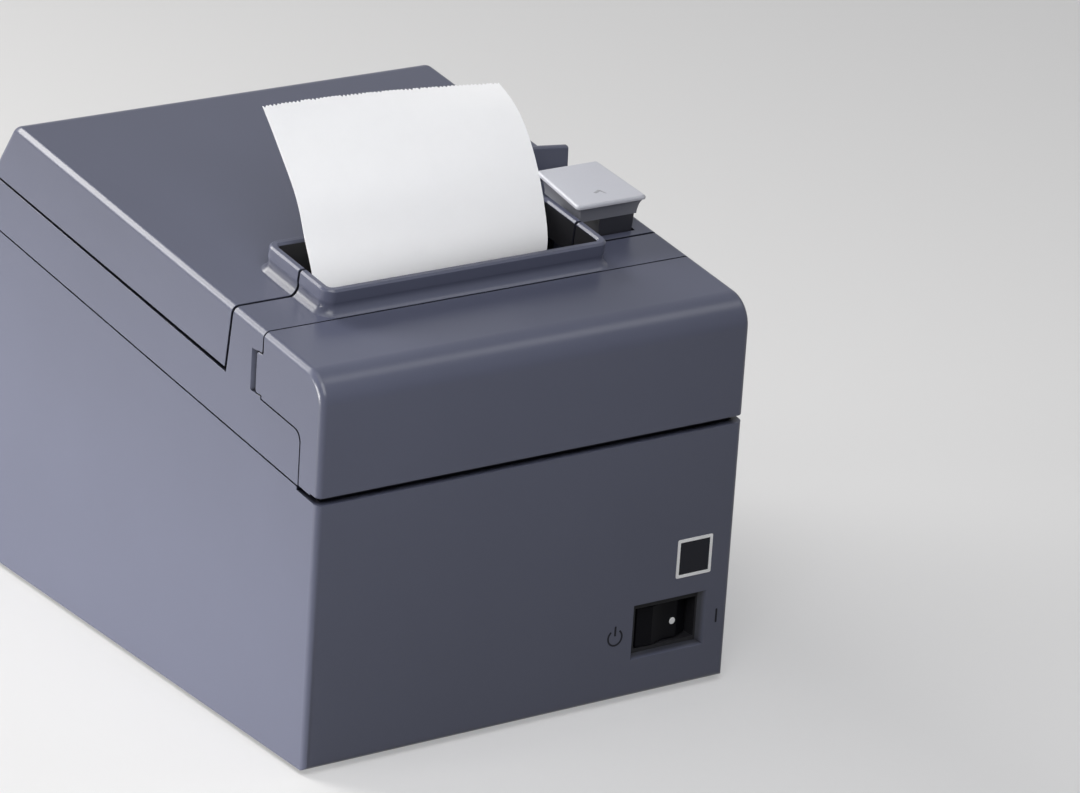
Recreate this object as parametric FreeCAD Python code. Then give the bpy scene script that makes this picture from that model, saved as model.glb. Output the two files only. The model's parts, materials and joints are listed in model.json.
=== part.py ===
import FreeCAD, Part
import math
import os
from FreeCAD import Vector as V

# Receipt printer. Millimetres, +Z up, front towards -Y, origin under the middle of the case.

# Case
width = 148.5
depth = 195.0
foot_height = 1.5
wall = 2.5
deck_front = 120.1
deck_tilt = 7.52
crest_inset = 24.3
front_round = 9.5
rear_round = 5.0
heel_round = 3.5
edge_round = 2.2
seam_drop = 36.3
lid_drop = 20.2

# Seams
front_gap = 1.2
case_gap = 0.5
lid_gap = 0.9
cutter_gap = 0.4
lid_seam = 47.3
cutter_seam = 31.0
cutter_leg = 10.2
tab_top = 6.6
tab_height = 12.6
tab_reach = 3.2
groove_width = 2.4
groove_depth = 1.9
lip_height = 4.0

# Cover hinge
hinge_inset = 5.5
hinge_drop = 38.1
barrel_radius = 4.5
barrel_inset = 8.5
trough_drop = 4.0
hinge_pin_radius = 1.6
hinge_boss_radius = 3.0
fit = 0.05

# Paper
paper_width = 79.5
paper_left = -49.7
paper_thick = 0.2
roll_radius = 34.0
core_radius = 9.0
core_wall = 2.0
roll_side_gap = 1.5
curl_left = ((44.2, 10.4), (49.4, 21.7), (53.8, 30.8), (61.4, 40.3), (70.1, 49.6), (74.7, 54.2))
curl_right = ((41.9, 9.1), (43.6, 19.2), (46.8, 27.4), (53.6, 39.0), (62.1, 47.2), (71.3, 51.4))
bucket_floor = 37.0
bucket_radius = 42.5
bucket_wall = 2.0

# Paper exit
rim_left = -53.15
rim_right = 45.45
rim_front = 33.1
rim_rear = 66.6
rim_height = 8.0
rim_thick = 2.6
rim_lip = 0.6
cove_height = 4.2
cove_flare = 1.8
cove_hollow = 0.75
rim_corner = 4.0

# Print mechanism, placed on the deck's own axes: s up the deck, n out of it
paper_s = 43.7
nip_n = -27.0
platen_radius = 6.5
platen_shaft_radius = 3.0
platen_overhang = 0.8
running_gap = 0.3
head_gap = 0.25
ceramic_thick = 1.0
heatsink_thick = 5.0
plate_thick = 1.2
arm_thick = 2.0
bush_radius = 5.0
gear_module = 0.8
gear_width = 3.6
platen_teeth = 16
idler_teeth = 40
pinion_teeth = 14
pinion_angle = 194.0
motor_radius = 9.6
motor_length = 18.0
frame_front = 8.0
frame_rear = 58.0
frame_top = -6.0
frame_low = -66.0

# Cutter
blade_n = -14.0
blade_thick = 1.2
blade_rest = 3.3
blade_travel = 8.0
cutter_teeth = 24
cutter_shaft_s = 17.5
cutter_shaft_radius = 2.0
cutter_motor_radius = 8.5
cutter_motor_length = 26.0

# Cover lever
lever_gap = 1.5
lever_inset = 5.3
lever_front = 50.0
lever_rear = 75.2
lever_top = 11.5
lever_lip = 1.2
lever_corner = 1.0
lever_splay_left = 2.2
lever_splay_right = 0.8
lever_splay_stem = 1.2
lever_stem_left = 7.7
lever_stem_right = 1.5
lever_skirt = 5.6
lever_side = 1.2
lever_nose = 1.0
lever_tail = 4.0
lever_neck = 1.4
lever_step = 0.5
lever_neck_step = 0.8
lever_pin_end = 1.0
lever_well = 0.6
lever_pivot = 62.0
lever_pivot_drop = 11.0
lever_swing = 18.0
upstand_front = 87.2
upstand_length = 9.0
upstand_left = 11.9
upstand_right = 9.6
upstand_lean = 1.4

# Switch and rear sockets
switch_inset = 22.0
switch_z = 22.15
recess_width = 26.4
recess_height = 17.3
recess_depth = 2.1
rocker_width = 21.6
rocker_height = 13.5
rocker_tilt = 9.0
bay_inset = 10.5
bay_low = 8.0
bay_high = 46.0
bay_depth = 13.5
board_inset = 14.5
board_z = 14.0
board_thick = 1.6

tilt = math.radians(deck_tilt)
front = -depth / 2
rear = depth / 2
half = width / 2
slope = math.tan(tilt)
hinge_y = rear - hinge_inset
hinge_height = deck_front + slope * (hinge_y - front) - hinge_drop
top_depth = depth - crest_inset
barrel_half = half - barrel_inset
bay_half = half - bay_inset
switch_x = half - switch_inset
lever_left = rim_right + lever_gap
lever_right = half - lever_inset
lever_body_left = lever_left + lever_stem_left
lever_body_right = lever_right - lever_stem_right


def deck_z(y, drop=0.0):
    return deck_front + slope * (y - front) - drop


def deck_point(s, n):
    return (front + s * math.cos(tilt) - n * math.sin(tilt),
            deck_front + s * math.sin(tilt) + n * math.cos(tilt))


# Rear slope of the paper cover: it runs from the crest down to touch the hinge barrel.
crest_y = front + top_depth
crest_z = deck_z(crest_y)
fall = math.atan2(crest_z - hinge_height, hinge_y - crest_y)
fall -= math.asin(barrel_radius / math.hypot(hinge_y - crest_y, crest_z - hinge_height))
touch_z = hinge_height + barrel_radius * math.cos(fall)


def box(x0, x1, y0, y1, z0, z1):
    return Part.makeBox(x1 - x0, y1 - y0, z1 - z0, V(x0, y0, z0))


def rod(y, z, radius, x0, x1):
    return Part.makeCylinder(radius, x1 - x0, V(x0, y, z), V(1, 0, 0))


def post(x, y, radius, z0, z1):
    return Part.makeCylinder(radius, z1 - z0, V(x, y, z0))


def tube(y, z, outer, inner, x0, x1):
    return rod(y, z, outer, x0, x1).cut(rod(y, z, inner, x0, x1))


def rounded_wire(corners):
    """Closed wire in the YZ plane; each corner is (y, z, radius)."""
    edges = []
    starts = []
    ends = []
    arcs = []
    count = len(corners)
    for i in range(count):
        y, z, radius = corners[i]
        p = V(0, y, z)
        a = V(0, corners[i - 1][0], corners[i - 1][1]) - p
        b = V(0, corners[(i + 1) % count][0], corners[(i + 1) % count][1]) - p
        a.normalize()
        b.normalize()
        if radius <= 0:
            starts.append(p)
            ends.append(p)
            arcs.append(None)
            continue
        opening = a.getAngle(b) / 2
        reach = radius / math.tan(opening)
        middle = a + b
        middle.normalize()
        centre = p + middle * (radius / math.sin(opening))
        starts.append(p + a * reach)
        ends.append(p + b * reach)
        arcs.append(Part.Arc(p + a * reach, centre - middle * radius, p + b * reach).toShape())
    for i in range(count):
        if arcs[i] is not None:
            edges.append(arcs[i])
        edges.append(Part.makeLine(ends[i], starts[(i + 1) % count]))
    return Part.Wire(edges)


def prism(corners, x0, x1):
    face = Part.Face(rounded_wire(corners))
    face.translate(V(x0, 0, 0))
    return face.extrude(V(x1 - x0, 0, 0))


def plain(points):
    return [(y, z, 0) for y, z in points]


def join(first, *others):
    return first.fuse(list(others)).removeSplitter()


def inset_corners(corners, inset):
    """Moves every side of a convex outline inwards; corner radii shrink with it."""
    count = len(corners)
    lines = []
    for i in range(count):
        y0, z0, r0 = corners[i]
        y1, z1, r1 = corners[(i + 1) % count]
        length = math.hypot(y1 - y0, z1 - z0)
        ty, tz = (y1 - y0) / length, (z1 - z0) / length
        lines.append((y0 - tz * inset, z0 + ty * inset, ty, tz))
    result = []
    for i in range(count):
        ay, az, aty, atz = lines[i - 1]
        by, bz, bty, btz = lines[i]
        cross = aty * btz - atz * bty
        t = ((by - ay) * btz - (bz - az) * bty) / cross
        result.append((ay + aty * t, az + atz * t, max(0.0, corners[i][2] - inset)))
    return result


def envelope(inset):
    """The whole case as one block, moved inwards by the given amount."""
    heel_z = crest_z - (rear - crest_y) * math.tan(fall)
    corners = [
        (front, foot_height, 0),
        (rear, foot_height, 0),
        (rear, heel_z, heel_round),
        (crest_y, crest_z, rear_round),
        (front, deck_front, front_round),
    ]
    return prism(inset_corners(corners, inset), -half + inset, half - inset)


def case_block():
    """Outer block with its edges rounded as on the mouldings."""
    block = envelope(0.0)
    uprights = []
    rims = []
    for edge in block.Edges:
        ends = [v.Point for v in edge.Vertexes]
        on_side = all(abs(abs(p.x) - half) < 1e-6 for p in ends)
        if not on_side:
            continue
        if all(abs(p.y - front) < 1e-6 for p in ends):
            uprights.append(edge)
        elif all(p.z > foot_height + 1.0 for p in ends):
            rims.append(edge)
    return block.makeFillet(edge_round, uprights + rims)


def below(drop, shift, y0=front - 40, y1=rear + 40):
    """Everything under a plane parallel to the deck."""
    points = [(y0, deck_z(y0, drop) + shift), (y0, -60), (y1, -60), (y1, deck_z(y1, drop) + shift)]
    return prism(plain(points), -half - 20, half + 20)


def lid_region(margin):
    """Side outline of the paper cover, grown by the given amount."""
    y_top, z_top = deck_point(lid_seam / math.cos(tilt), 40)
    y_low, z_low = deck_point(lid_seam / math.cos(tilt), -lid_drop * math.cos(tilt))
    far = rear + 40
    points = [
        (y_top - margin, z_top),
        (y_low - margin, z_low - margin * 1.6),
        (far, deck_z(far, lid_drop) - margin * 0.5),
        (far, z_top),
    ]
    return prism(plain(points), -half - 20, half + 20)


def cutter_region(margin):
    """Side outline of the front cover, grown by the given amount."""
    y0 = front - 40
    y1 = front + cutter_seam + margin
    y2 = front + cutter_leg + margin
    tab_high = deck_z(y1, tab_top) + margin
    tab_low = tab_high - tab_height - 2 * margin
    points = [
        (y0, deck_front + 60, 0),
        (y1, deck_front + 60, 0),
        (y1, tab_high, 0.4),
        (y1 + tab_reach, tab_high, 0.9),
        (y1 + tab_reach, tab_low, 0.9),
        (y1, tab_low, 0.2),
        (y1, deck_z(y1, lid_drop) - margin, 0),
        (y2, deck_z(y2, lid_drop) - margin, 3.5),
        (y2, deck_z(y2, seam_drop) - 2 * margin, 0),
        (y0, deck_z(y0, seam_drop) - 2 * margin, 0),
    ]
    return prism(points, -half - 20, half + 20)


def on_deck(shape):
    """Moves a shape built on the XY plane onto the deck: local Y runs up the deck, local Z is its normal."""
    shape = shape.copy()
    shape.rotate(V(0, 0, 0), V(1, 0, 0), deck_tilt)
    shape.translate(V(0, front, deck_front))
    return shape


def exit_ring():
    """Coved wall around the paper exit, before it is split at the cover's seam."""
    x0, x1, s0, s1, r = rim_left, rim_right, rim_front, rim_rear, rim_corner
    k = r * math.sqrt(0.5)
    path = Part.Wire([
        Part.makeLine(V((x0 + x1) / 2, s0, 0), V(x1 - r, s0, 0)),
        Part.Arc(V(x1 - r, s0, 0), V(x1 - r + k, s0 + r - k, 0), V(x1, s0 + r, 0)).toShape(),
        Part.makeLine(V(x1, s0 + r, 0), V(x1, s1 - r, 0)),
        Part.Arc(V(x1, s1 - r, 0), V(x1 - r + k, s1 - r + k, 0), V(x1 - r, s1, 0)).toShape(),
        Part.makeLine(V(x1 - r, s1, 0), V(x0 + r, s1, 0)),
        Part.Arc(V(x0 + r, s1, 0), V(x0 + r - k, s1 - r + k, 0), V(x0, s1 - r, 0)).toShape(),
        Part.makeLine(V(x0, s1 - r, 0), V(x0, s0 + r, 0)),
        Part.Arc(V(x0, s0 + r, 0), V(x0 + r - k, s0 + r - k, 0), V(x0 + r, s0, 0)).toShape(),
        Part.makeLine(V(x0 + r, s0, 0), V((x0 + x1) / 2, s0, 0)),
    ])
    xm = (x0 + x1) / 2

    def at(outward, height):
        return V(xm, s0 - outward, height)

    lip = rim_lip
    hollow = cove_flare * (1 - cove_hollow)
    cove = Part.Arc(at(0, cove_height), at(hollow, cove_height * (1 - cove_hollow)), at(cove_flare, 0)).toShape()
    profile = Part.Wire([
        Part.makeLine(at(cove_flare, 0), at(cove_flare, -wall)),
        Part.makeLine(at(cove_flare, -wall), at(-rim_thick, -wall)),
        Part.makeLine(at(-rim_thick, -wall), at(-rim_thick, rim_height - lip)),
        Part.makeLine(at(-rim_thick, rim_height - lip), at(-rim_thick + lip, rim_height)),
        Part.makeLine(at(-rim_thick + lip, rim_height), at(-lip, rim_height)),
        Part.makeLine(at(-lip, rim_height), at(0, rim_height - lip)),
        Part.makeLine(at(0, rim_height - lip), at(0, cove_height)),
        cove,
    ])
    ring = path.makePipeShell([profile], True, False)
    return on_deck(ring)


def exit_hole():
    """Clear opening inside the paper exit."""
    x0 = rim_left + rim_thick
    x1 = rim_right - rim_thick
    s0 = rim_front + rim_thick
    s1 = rim_rear - rim_thick
    hole = Part.makeBox(x1 - x0, s1 - s0, 60, V(x0, s0, -30))
    uprights = [e for e in hole.Edges if abs(e.Vertexes[0].Z - e.Vertexes[1].Z) > 1]
    hole = hole.makeFillet(rim_corner - rim_thick, uprights)
    return on_deck(hole)


def involute(angle):
    return math.tan(angle) - angle


def gear(teeth, x0, x1, y, z, bore, tooth_at):
    """Spur gear about X with one tooth centred on the given direction in degrees."""
    pitch = gear_module * teeth / 2
    base = pitch * math.cos(math.radians(20))
    tip = pitch + 0.8 * gear_module
    root = pitch - 1.1 * gear_module
    slack = 0.07 / pitch
    points = []
    levels = [root, max(base, root + 0.02), pitch, tip]
    for i in range(teeth):
        middle = math.radians(tooth_at) + 2 * math.pi * i / teeth
        flank = []
        for radius in levels:
            press = math.acos(min(1.0, base / radius))
            open_angle = math.pi / (2 * teeth) + involute(math.radians(20)) - involute(press) - slack
            flank.append((radius, open_angle))
        for radius, open_angle in flank:
            points.append((radius, middle - open_angle))
        for radius, open_angle in reversed(flank):
            points.append((radius, middle + open_angle))
    ring = [V(x0, y + r * math.cos(a), z + r * math.sin(a)) for r, a in points]
    body = Part.Face(Part.makePolygon(ring + [ring[0]])).extrude(V(x1 - x0, 0, 0))
    return body.cut(rod(y, z, bore, x0 - 1, x1 + 1)) if bore > 0 else body


def mate_tooth(tooth_at, teeth, mate_teeth, direction):
    """Direction of a tooth of the gear that meshes on the given side."""
    lag = direction - tooth_at
    return direction + 180 + lag * teeth / mate_teeth + 180.0 / mate_teeth


# Places that several pieces share
paper_right = paper_left + paper_width
platen_s = paper_s + paper_thick / 2 + running_gap + platen_radius
platen_x0 = paper_left - platen_overhang
platen_x1 = paper_right + platen_overhang
bucket_x0 = paper_left - roll_side_gap
bucket_x1 = paper_right + roll_side_gap
arm_left = bucket_x0 - bucket_wall - running_gap - arm_thick
arm_right = bucket_x1 + bucket_wall + running_gap + arm_thick
plate_left = arm_left - 0.6 - plate_thick
plate_right = arm_right + 0.6 + plate_thick
gear_x0 = plate_right + 0.8
gear_x1 = gear_x0 + gear_width
platen_pitch = gear_module * platen_teeth / 2
idler_pitch = gear_module * idler_teeth / 2
pinion_pitch = gear_module * pinion_teeth / 2
cutter_pitch = gear_module * cutter_teeth / 2
idler_s = platen_s
idler_n = nip_n - platen_pitch - idler_pitch
motor_s = idler_s + (idler_pitch + pinion_pitch) * math.cos(math.radians(pinion_angle))
motor_n = idler_n + (idler_pitch + pinion_pitch) * math.sin(math.radians(pinion_angle))
idler_tooth = mate_tooth(270.0, platen_teeth, idler_teeth, 270.0)
motor_tooth = mate_tooth(idler_tooth, idler_teeth, pinion_teeth, pinion_angle)
rack_line = blade_n - blade_thick / 2 - 2.4
cutter_shaft_n = rack_line - pinion_pitch
cutter_motor_n = cutter_shaft_n - cutter_pitch - pinion_pitch
cutter_gear_tooth = 270.0
cutter_motor_tooth = mate_tooth(cutter_gear_tooth, cutter_teeth, pinion_teeth, 270.0)
cutter_x1 = plate_left - 0.8
cutter_x0 = cutter_x1 - gear_width
rack_places = [(platen_x0 + 4.0, platen_x0 + 8.0), (platen_x1 - 8.0, platen_x1 - 4.0)]
roll_s = paper_s + paper_thick / 2 + fit + roll_radius
roll_z = bucket_floor + roll_radius + running_gap
roll_n = (roll_z - deck_front - roll_s * math.sin(tilt)) / math.cos(tilt)
roll_y = deck_point(roll_s, roll_n)[0]
bucket_front = paper_s - 1.5
bucket_z = bucket_floor + bucket_radius
shelf_n = -(lid_drop + 1.2) * math.cos(tilt)
shelf_thick = 2.2
shelf_front = 68.0
shelf_end = top_depth + 6.0
tongue_reach = 7.6
tongue_mid = (lever_body_left + lever_body_right) / 2
tongue_half = (lever_body_right - lever_body_left) * 0.22
lug_left = lever_body_left + 1.5
lug_rear = lever_pivot - 2.0 - tongue_reach * math.sin(math.radians(lever_swing)) - running_gap


def slab(x0, x1, s0, s1, n0, n1):
    return box(x0, x1, s0, s1, n0, n1)


def shell():
    return case_block().cut(envelope(wall))


def tail_space(margin):
    """Room for the lower rear edge of the paper cover and its hinge barrel."""
    reach = barrel_half + margin
    room = box(-reach, reach, hinge_y - 22, rear + 20, hinge_height - trough_drop, deck_front + 60)
    return room.fuse(rod(hinge_y, hinge_height, barrel_radius + margin, -reach, reach))


def lower_case(skin):
    body = skin.common(below(seam_drop, -case_gap / 2))
    body = body.cut(cutter_region(front_gap / 2))
    inner = half - wall
    lip = 4.0
    low = foot_height + wall
    floor_lip = box(-inner, inner, front + wall, rear - wall, low, low + 2.0)
    floor_lip = floor_lip.cut(box(-inner + lip, inner - lip, front + wall + lip, rear - wall - lip, low - 1, low + 3))
    body = body.cut(box(-inner, inner, front + wall, rear - wall, foot_height - 1, low))
    ribs = []
    for x in (platen_x0 + 1.0, platen_x1 - 3.5):
        rib = box(x, x + 2.5, front + wall, front + 36.0, low + 2.0, 75.0)
        ribs.append(rib.cut(on_deck(slab(-90, 90, -40, 200, frame_low, 60))))
    bay = box(-bay_half - 2, bay_half + 2, rear - bay_depth - 1.2, rear, bay_low - 2, bay_high + 2)
    bosses = []
    for side in (-1, 1):
        x = sorted((side * (barrel_half + 0.6), side * inner))
        bosses.append(rod(hinge_y, hinge_height, hinge_boss_radius, x[0], x[1]))
    pad = box(switch_x - 16, switch_x + 16, front + wall, front + wall + 2.5, switch_z - 12, switch_z + 12)
    tongue = box(-inner + 0.4, inner - 0.4, front + wall + 0.5, front + wall + 1.9, deck_front - seam_drop - 8.0,
                 deck_front - seam_drop + lip_height)
    root = box(-inner, inner, front + wall - 0.2, front + wall + 1.9, deck_front - seam_drop - 8.0,
               deck_front - seam_drop - 5.0)
    body = join(body, floor_lip, bay, pad, tongue, root, *ribs)
    body = body.cut(box(-bay_half, bay_half, rear - bay_depth - 3, rear + 5, bay_low, bay_high))
    body = body.cut(tail_space(case_gap))
    body = join(body, *bosses)
    body = body.cut(rod(hinge_y, hinge_height, hinge_pin_radius, -inner - 1.0, inner + 1.0))
    body = body.cut(switch_recess())
    for x, y in screw_places():
        body = body.cut(post(x, y, 1.3, low - 1, low + 3))
    return body


def switch_recess():
    def outline(w, h, y):
        x0, x1 = switch_x - w / 2, switch_x + w / 2
        z0, z1 = switch_z - h / 2, switch_z + h / 2
        return Part.makePolygon([V(x0, y, z0), V(x1, y, z0), V(x1, y, z1), V(x0, y, z1), V(x0, y, z0)])
    mouth = outline(recess_width, recess_height, front - 0.01)
    seat = outline(rocker_width + 1.6, rocker_height + 1.6, front + recess_depth)
    funnel = Part.makeLoft([mouth, seat], True, True)
    hole = box(switch_x - rocker_width / 2 - 0.8, switch_x + rocker_width / 2 + 0.8,
               front + recess_depth - 0.01, front + 20,
               switch_z - rocker_height / 2 - 0.8, switch_z + rocker_height / 2 + 0.8)
    return funnel.fuse(hole)


def upper_case(skin):
    body = skin.cut(below(seam_drop, case_gap / 2))
    body = body.cut(lid_region(lid_gap / 2))
    body = body.cut(cutter_region(cutter_gap / 2))
    body = body.cut(tail_space(case_gap))
    ring = exit_ring().cut(lid_region(lid_gap / 2)).cut(cutter_region(cutter_gap / 2))
    shelf = on_deck(slab(-half + wall, half - wall, shelf_front, shelf_end, shelf_n - shelf_thick, shelf_n))
    mouth = box(bucket_x0, bucket_x1, front, roll_y + bucket_radius, bucket_z, deck_front + 40)
    mouth = mouth.common(on_deck(slab(-half, half, shelf_front - 5, 260, shelf_n - 8, shelf_n + 2)))
    foot = on_deck(slab(lug_left, half - wall + 0.5, lug_rear - 4.0, lug_rear, shelf_n - 3.0, shelf_n))
    lug = on_deck(slab(lug_left, half - wall - 0.6, lug_rear - 4.0, lug_rear, shelf_n - 1.0, -lever_pivot_drop - 4.6))
    lips = []
    for side in (-1, 1):
        x = sorted((side * (half - wall - 0.5), side * (half - wall - 2.0)))
        s1 = shelf_end
        s0 = lid_seam / math.cos(tilt) + 2.0
        lips.append(on_deck(slab(x[0], x[1], s0, s1, shelf_n - shelf_thick, shelf_n + lip_height)))
        x = sorted((side * (half - wall + 0.3), side * (half - wall - 2.0)))
        lips.append(on_deck(slab(x[0], x[1], s0, s1, shelf_n - shelf_thick, shelf_n - 0.3)))
    body = join(body, ring, shelf, foot, lug, *lips)
    body = body.cut(exit_hole()).cut(mouth)
    inner = half - wall
    body = body.cut(rod(hinge_y, hinge_height, hinge_boss_radius + running_gap, -inner, inner))
    for side in (-1, 1):
        body = body.cut(side_groove(side))
    return body


def side_groove(side):
    """Finger groove beside the front cover's tab."""
    y0 = front + cutter_seam + tab_reach + cutter_gap / 2
    z1 = deck_z(front + cutter_seam, tab_top)
    z0 = z1 - tab_height
    x0 = side * half
    x1 = side * (half - groove_depth)
    floor = [V(x0 + side, y0 - 1, 0), V(x1, y0 - 1, 0), V(x1, y0 + 0.8, 0), V(x0 + side, y0 + groove_width + 0.6, 0)]
    face = Part.Face(Part.makePolygon(floor + [floor[0]]))
    face.translate(V(0, 0, z0))
    return face.extrude(V(0, 0, z1 - z0))


def cutter_cover(skin):
    body = skin.common(cutter_region(-cutter_gap / 2))
    return body.cut(below(seam_drop, front_gap - case_gap / 2, front - 40, front + wall + 1.5))


def roll_cover(skin):
    body = skin.common(lid_region(-lid_gap / 2))
    tail = skin.common(box(-barrel_half, barrel_half, hinge_y - 20, rear + 5, touch_z, deck_front + 60))
    ring = exit_ring().common(lid_region(-lid_gap / 2))
    knuckle = rod(hinge_y, hinge_height, barrel_radius, -barrel_half, barrel_half)
    cheek = on_deck(slab(lever_body_left - 3.6, lever_body_left - 0.4, lever_pivot - 5, lever_pivot + 5,
                         -lever_pivot_drop - 4, -wall))
    seat = on_deck(slab(lever_body_right + 0.4, half - wall, lever_pivot - 5, lever_pivot + 5,
                        -lever_pivot_drop - 3.0, -wall))
    wedge = upstand()
    body = join(body, tail, ring, knuckle, cheek, seat, wedge)
    body = body.cut(exit_hole())
    body = body.cut(rod(hinge_y, hinge_height, hinge_pin_radius + fit, -half, half))
    well = slab(lever_body_left - 0.4, lever_body_right + 0.4, lever_front + lever_neck - lever_well, lever_rear + 2.0,
                -wall - 0.1, 2.0)
    body = body.cut(on_deck(well))
    return body.cut(lever_pin())


def upstand():
    """Raised stop behind the lever, upright, its top falling a little to the right."""
    s0, s1 = upstand_front, upstand_front + upstand_length
    ends = []
    for x, h in ((lever_left + 0.2, upstand_left), (lever_right - 0.2, upstand_right)):
        corners = [(s0, -wall, 0), (s1, -wall, 0), (s1, 0.6, 0), (s0 + upstand_lean + 2.6, h, 1.2),
                   (s0 + upstand_lean + 0.6, h, 0.8)]
        wire = rounded_wire(corners)
        wire.translate(V(x, 0, 0))
        ends.append(wire)
    return on_deck(Part.makeLoft(ends, True, True))


def cover_lever():
    """Flared top plate, wider in front, on a coved stem, with the arm that reaches its pivot."""
    def outline(left, right, s0, s1, n, splay_left, splay_right):
        return Part.makePolygon([V(left - splay_left, s0, n), V(right + splay_right, s0, n), V(right, s1, n),
                                 V(left, s1, n), V(left - splay_left, s0, n)])
    rows = []
    steps = 5
    for i in range(steps + 1):
        t = i / steps
        draw = math.sqrt(max(0.0, 1 - t * t))
        n = lever_skirt + (lever_top - lever_lip - lever_skirt) * t
        rows.append(outline(lever_left + lever_side * draw, lever_right - lever_stem_right * draw,
                            lever_front + lever_nose * draw, lever_rear - lever_tail * draw, n, lever_splay_stem, 0.0))
    stem = Part.makeLoft(rows, True, False)
    under = outline(lever_left, lever_right, lever_front, lever_rear, lever_top - lever_lip, lever_splay_left,
                    lever_splay_right)
    cap = Part.Face(under).extrude(V(0, 0, lever_lip))
    upright = [e for e in cap.Edges if abs(e.Vertexes[0].Z - e.Vertexes[1].Z) > lever_lip / 2]
    cap = cap.makeFillet(lever_corner, upright)
    rim = [e for e in cap.Edges if all(abs(v.Z - lever_top) < 1e-6 for v in e.Vertexes)]
    cap = cap.makeFillet(0.8, rim)
    arm = slab(lever_body_left, lever_body_right - lever_step, lever_front + lever_neck,
               lever_rear - lever_tail - lever_step, -wall - 1.0, lever_skirt + lever_step)
    arm = arm.cut(slab(lever_left, half, lever_rear - 5.0, lever_rear, -wall - 3.0, lever_neck_step))
    hub = rod(lever_pivot, -lever_pivot_drop, 3.6, lever_body_left, lever_body_right)
    web = slab(lever_body_left, lever_body_right, lever_pivot - 3.6, lever_pivot + 3.6, -lever_pivot_drop, -wall - 0.9)
    tongue = slab(tongue_mid - tongue_half, tongue_mid + tongue_half, lever_pivot - 2.0, lever_pivot + 2.0, -lever_pivot_drop - tongue_reach, -lever_pivot_drop)
    body = join(stem, cap, arm, hub, web, tongue)
    body = body.cut(rod(lever_pivot, -lever_pivot_drop, hinge_pin_radius + fit, lever_body_left - 1, lever_body_right + 1))
    return on_deck(body)


def lever_pin():
    return on_deck(rod(lever_pivot, -lever_pivot_drop, hinge_pin_radius, lever_body_left - 3.0, half - lever_pin_end))


def hinge_pins():
    inner = half - wall
    pins = []
    for side in (-1, 1):
        x = sorted((side * (barrel_half - 12), side * (inner + 1.0)))
        pins.append(rod(hinge_y, hinge_height, hinge_pin_radius, x[0], x[1]))
    return Part.makeCompound(pins)


def platen_holder():
    """Inner frame of the cover that carries the platen and the fixed blade."""
    corners = plain([(48.6, -wall), (67.0, -wall), (67.0, -18.0), (58.0, nip_n - 6.0), (46.2, nip_n - 6.0),
                     (46.2, blade_n - 3.0), (48.6, blade_n + 5.0)])
    left = prism(corners, arm_left, arm_left + arm_thick)
    right = prism(corners, arm_right - arm_thick, arm_right)
    back = slab(arm_left, arm_right, rim_rear - rim_thick + 0.5, 67.0, -18.0, -wall)
    seat_n = blade_n + blade_thick / 2 + running_gap + 1.2
    top = slab(arm_left, arm_right, 48.8, 67.0, seat_n, seat_n + 1.5)
    body = join(left, right, back, top)
    body = body.cut(rod(platen_s, nip_n, bush_radius - 1.2, arm_left - 1, arm_right + 1))
    return on_deck(body)


def platen_bushes():
    parts = []
    for x0, x1, f0, f1 in ((plate_left - 0.4, arm_left + arm_thick, plate_left - 0.4, arm_left),
                           (arm_right - arm_thick, plate_right + 0.4, arm_right, plate_right + 0.4)):
        bush = rod(platen_s, nip_n, bush_radius - 1.2, x0, x1).fuse(rod(platen_s, nip_n, bush_radius, f0, f1))
        parts.append(bush.cut(rod(platen_s, nip_n, platen_shaft_radius + fit, x0 - 1, x1 + 1)).removeSplitter())
    return on_deck(Part.makeCompound(parts))


def platen_shaft():
    return on_deck(rod(platen_s, nip_n, platen_shaft_radius, plate_left - 1.6, gear_x1 + 0.8))


def platen_rubber():
    return on_deck(tube(platen_s, nip_n, platen_radius, platen_shaft_radius, platen_x0, platen_x1))


def platen_gear():
    return on_deck(gear(platen_teeth, gear_x0, gear_x1, platen_s, nip_n, platen_shaft_radius, 270.0))


def fixed_blade():
    low = blade_n + blade_thick / 2 + running_gap
    s0 = paper_s + paper_thick / 2 + 0.6
    corners = plain([(s0, low), (s0 + 12.0, low), (s0 + 12.0, low + 1.2), (s0 + 0.9, low + 1.2)])
    return on_deck(prism(corners, rim_left + rim_thick + 0.5, platen_x1 + 1.5))


def mech_frame():
    """Steel frame: two side plates with open cradles for the platen, a floor and the blade rails."""
    cradle = bush_radius + running_gap
    corners = plain([(frame_front, frame_top - 4.0), (frame_front + 4.0, frame_top), (platen_s - cradle, frame_top),
                     (platen_s - cradle, nip_n), (frame_rear, nip_n), (frame_rear, frame_low), (frame_front, frame_low)])
    parts = []
    for x0 in (plate_left, plate_right - plate_thick):
        plate = prism(corners, x0, x0 + plate_thick)
        plate = plate.cut(rod(platen_s, nip_n, cradle, x0 - 1, x0 + 3))
        parts.append(plate)
    floor = slab(plate_left, plate_right, frame_front, paper_s - 5.0, frame_low, frame_low + plate_thick)
    low = blade_n - blade_thick / 2 - running_gap
    for x0, x1 in ((plate_left, plate_left + plate_thick + 3.0), (plate_right - plate_thick - 3.0, plate_right)):
        parts.append(slab(x0, x1, frame_front + 1.0, paper_s - 4.5, low - 1.2, low))
    body = join(floor, *parts)
    body = body.cut(rod(cutter_shaft_s, cutter_shaft_n, cutter_shaft_radius + fit, plate_left - 1, plate_right + 1))
    body = body.cut(rod(motor_s, motor_n, 3.0, plate_right - 3, plate_right + 1))
    body = body.cut(rod(cutter_shaft_s, cutter_motor_n, 3.0, plate_left - 1, plate_left + 3))
    return on_deck(body)


def idler_stud():
    return on_deck(rod(idler_s, idler_n, 2.0, plate_right, gear_x1 + 0.6))


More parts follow.
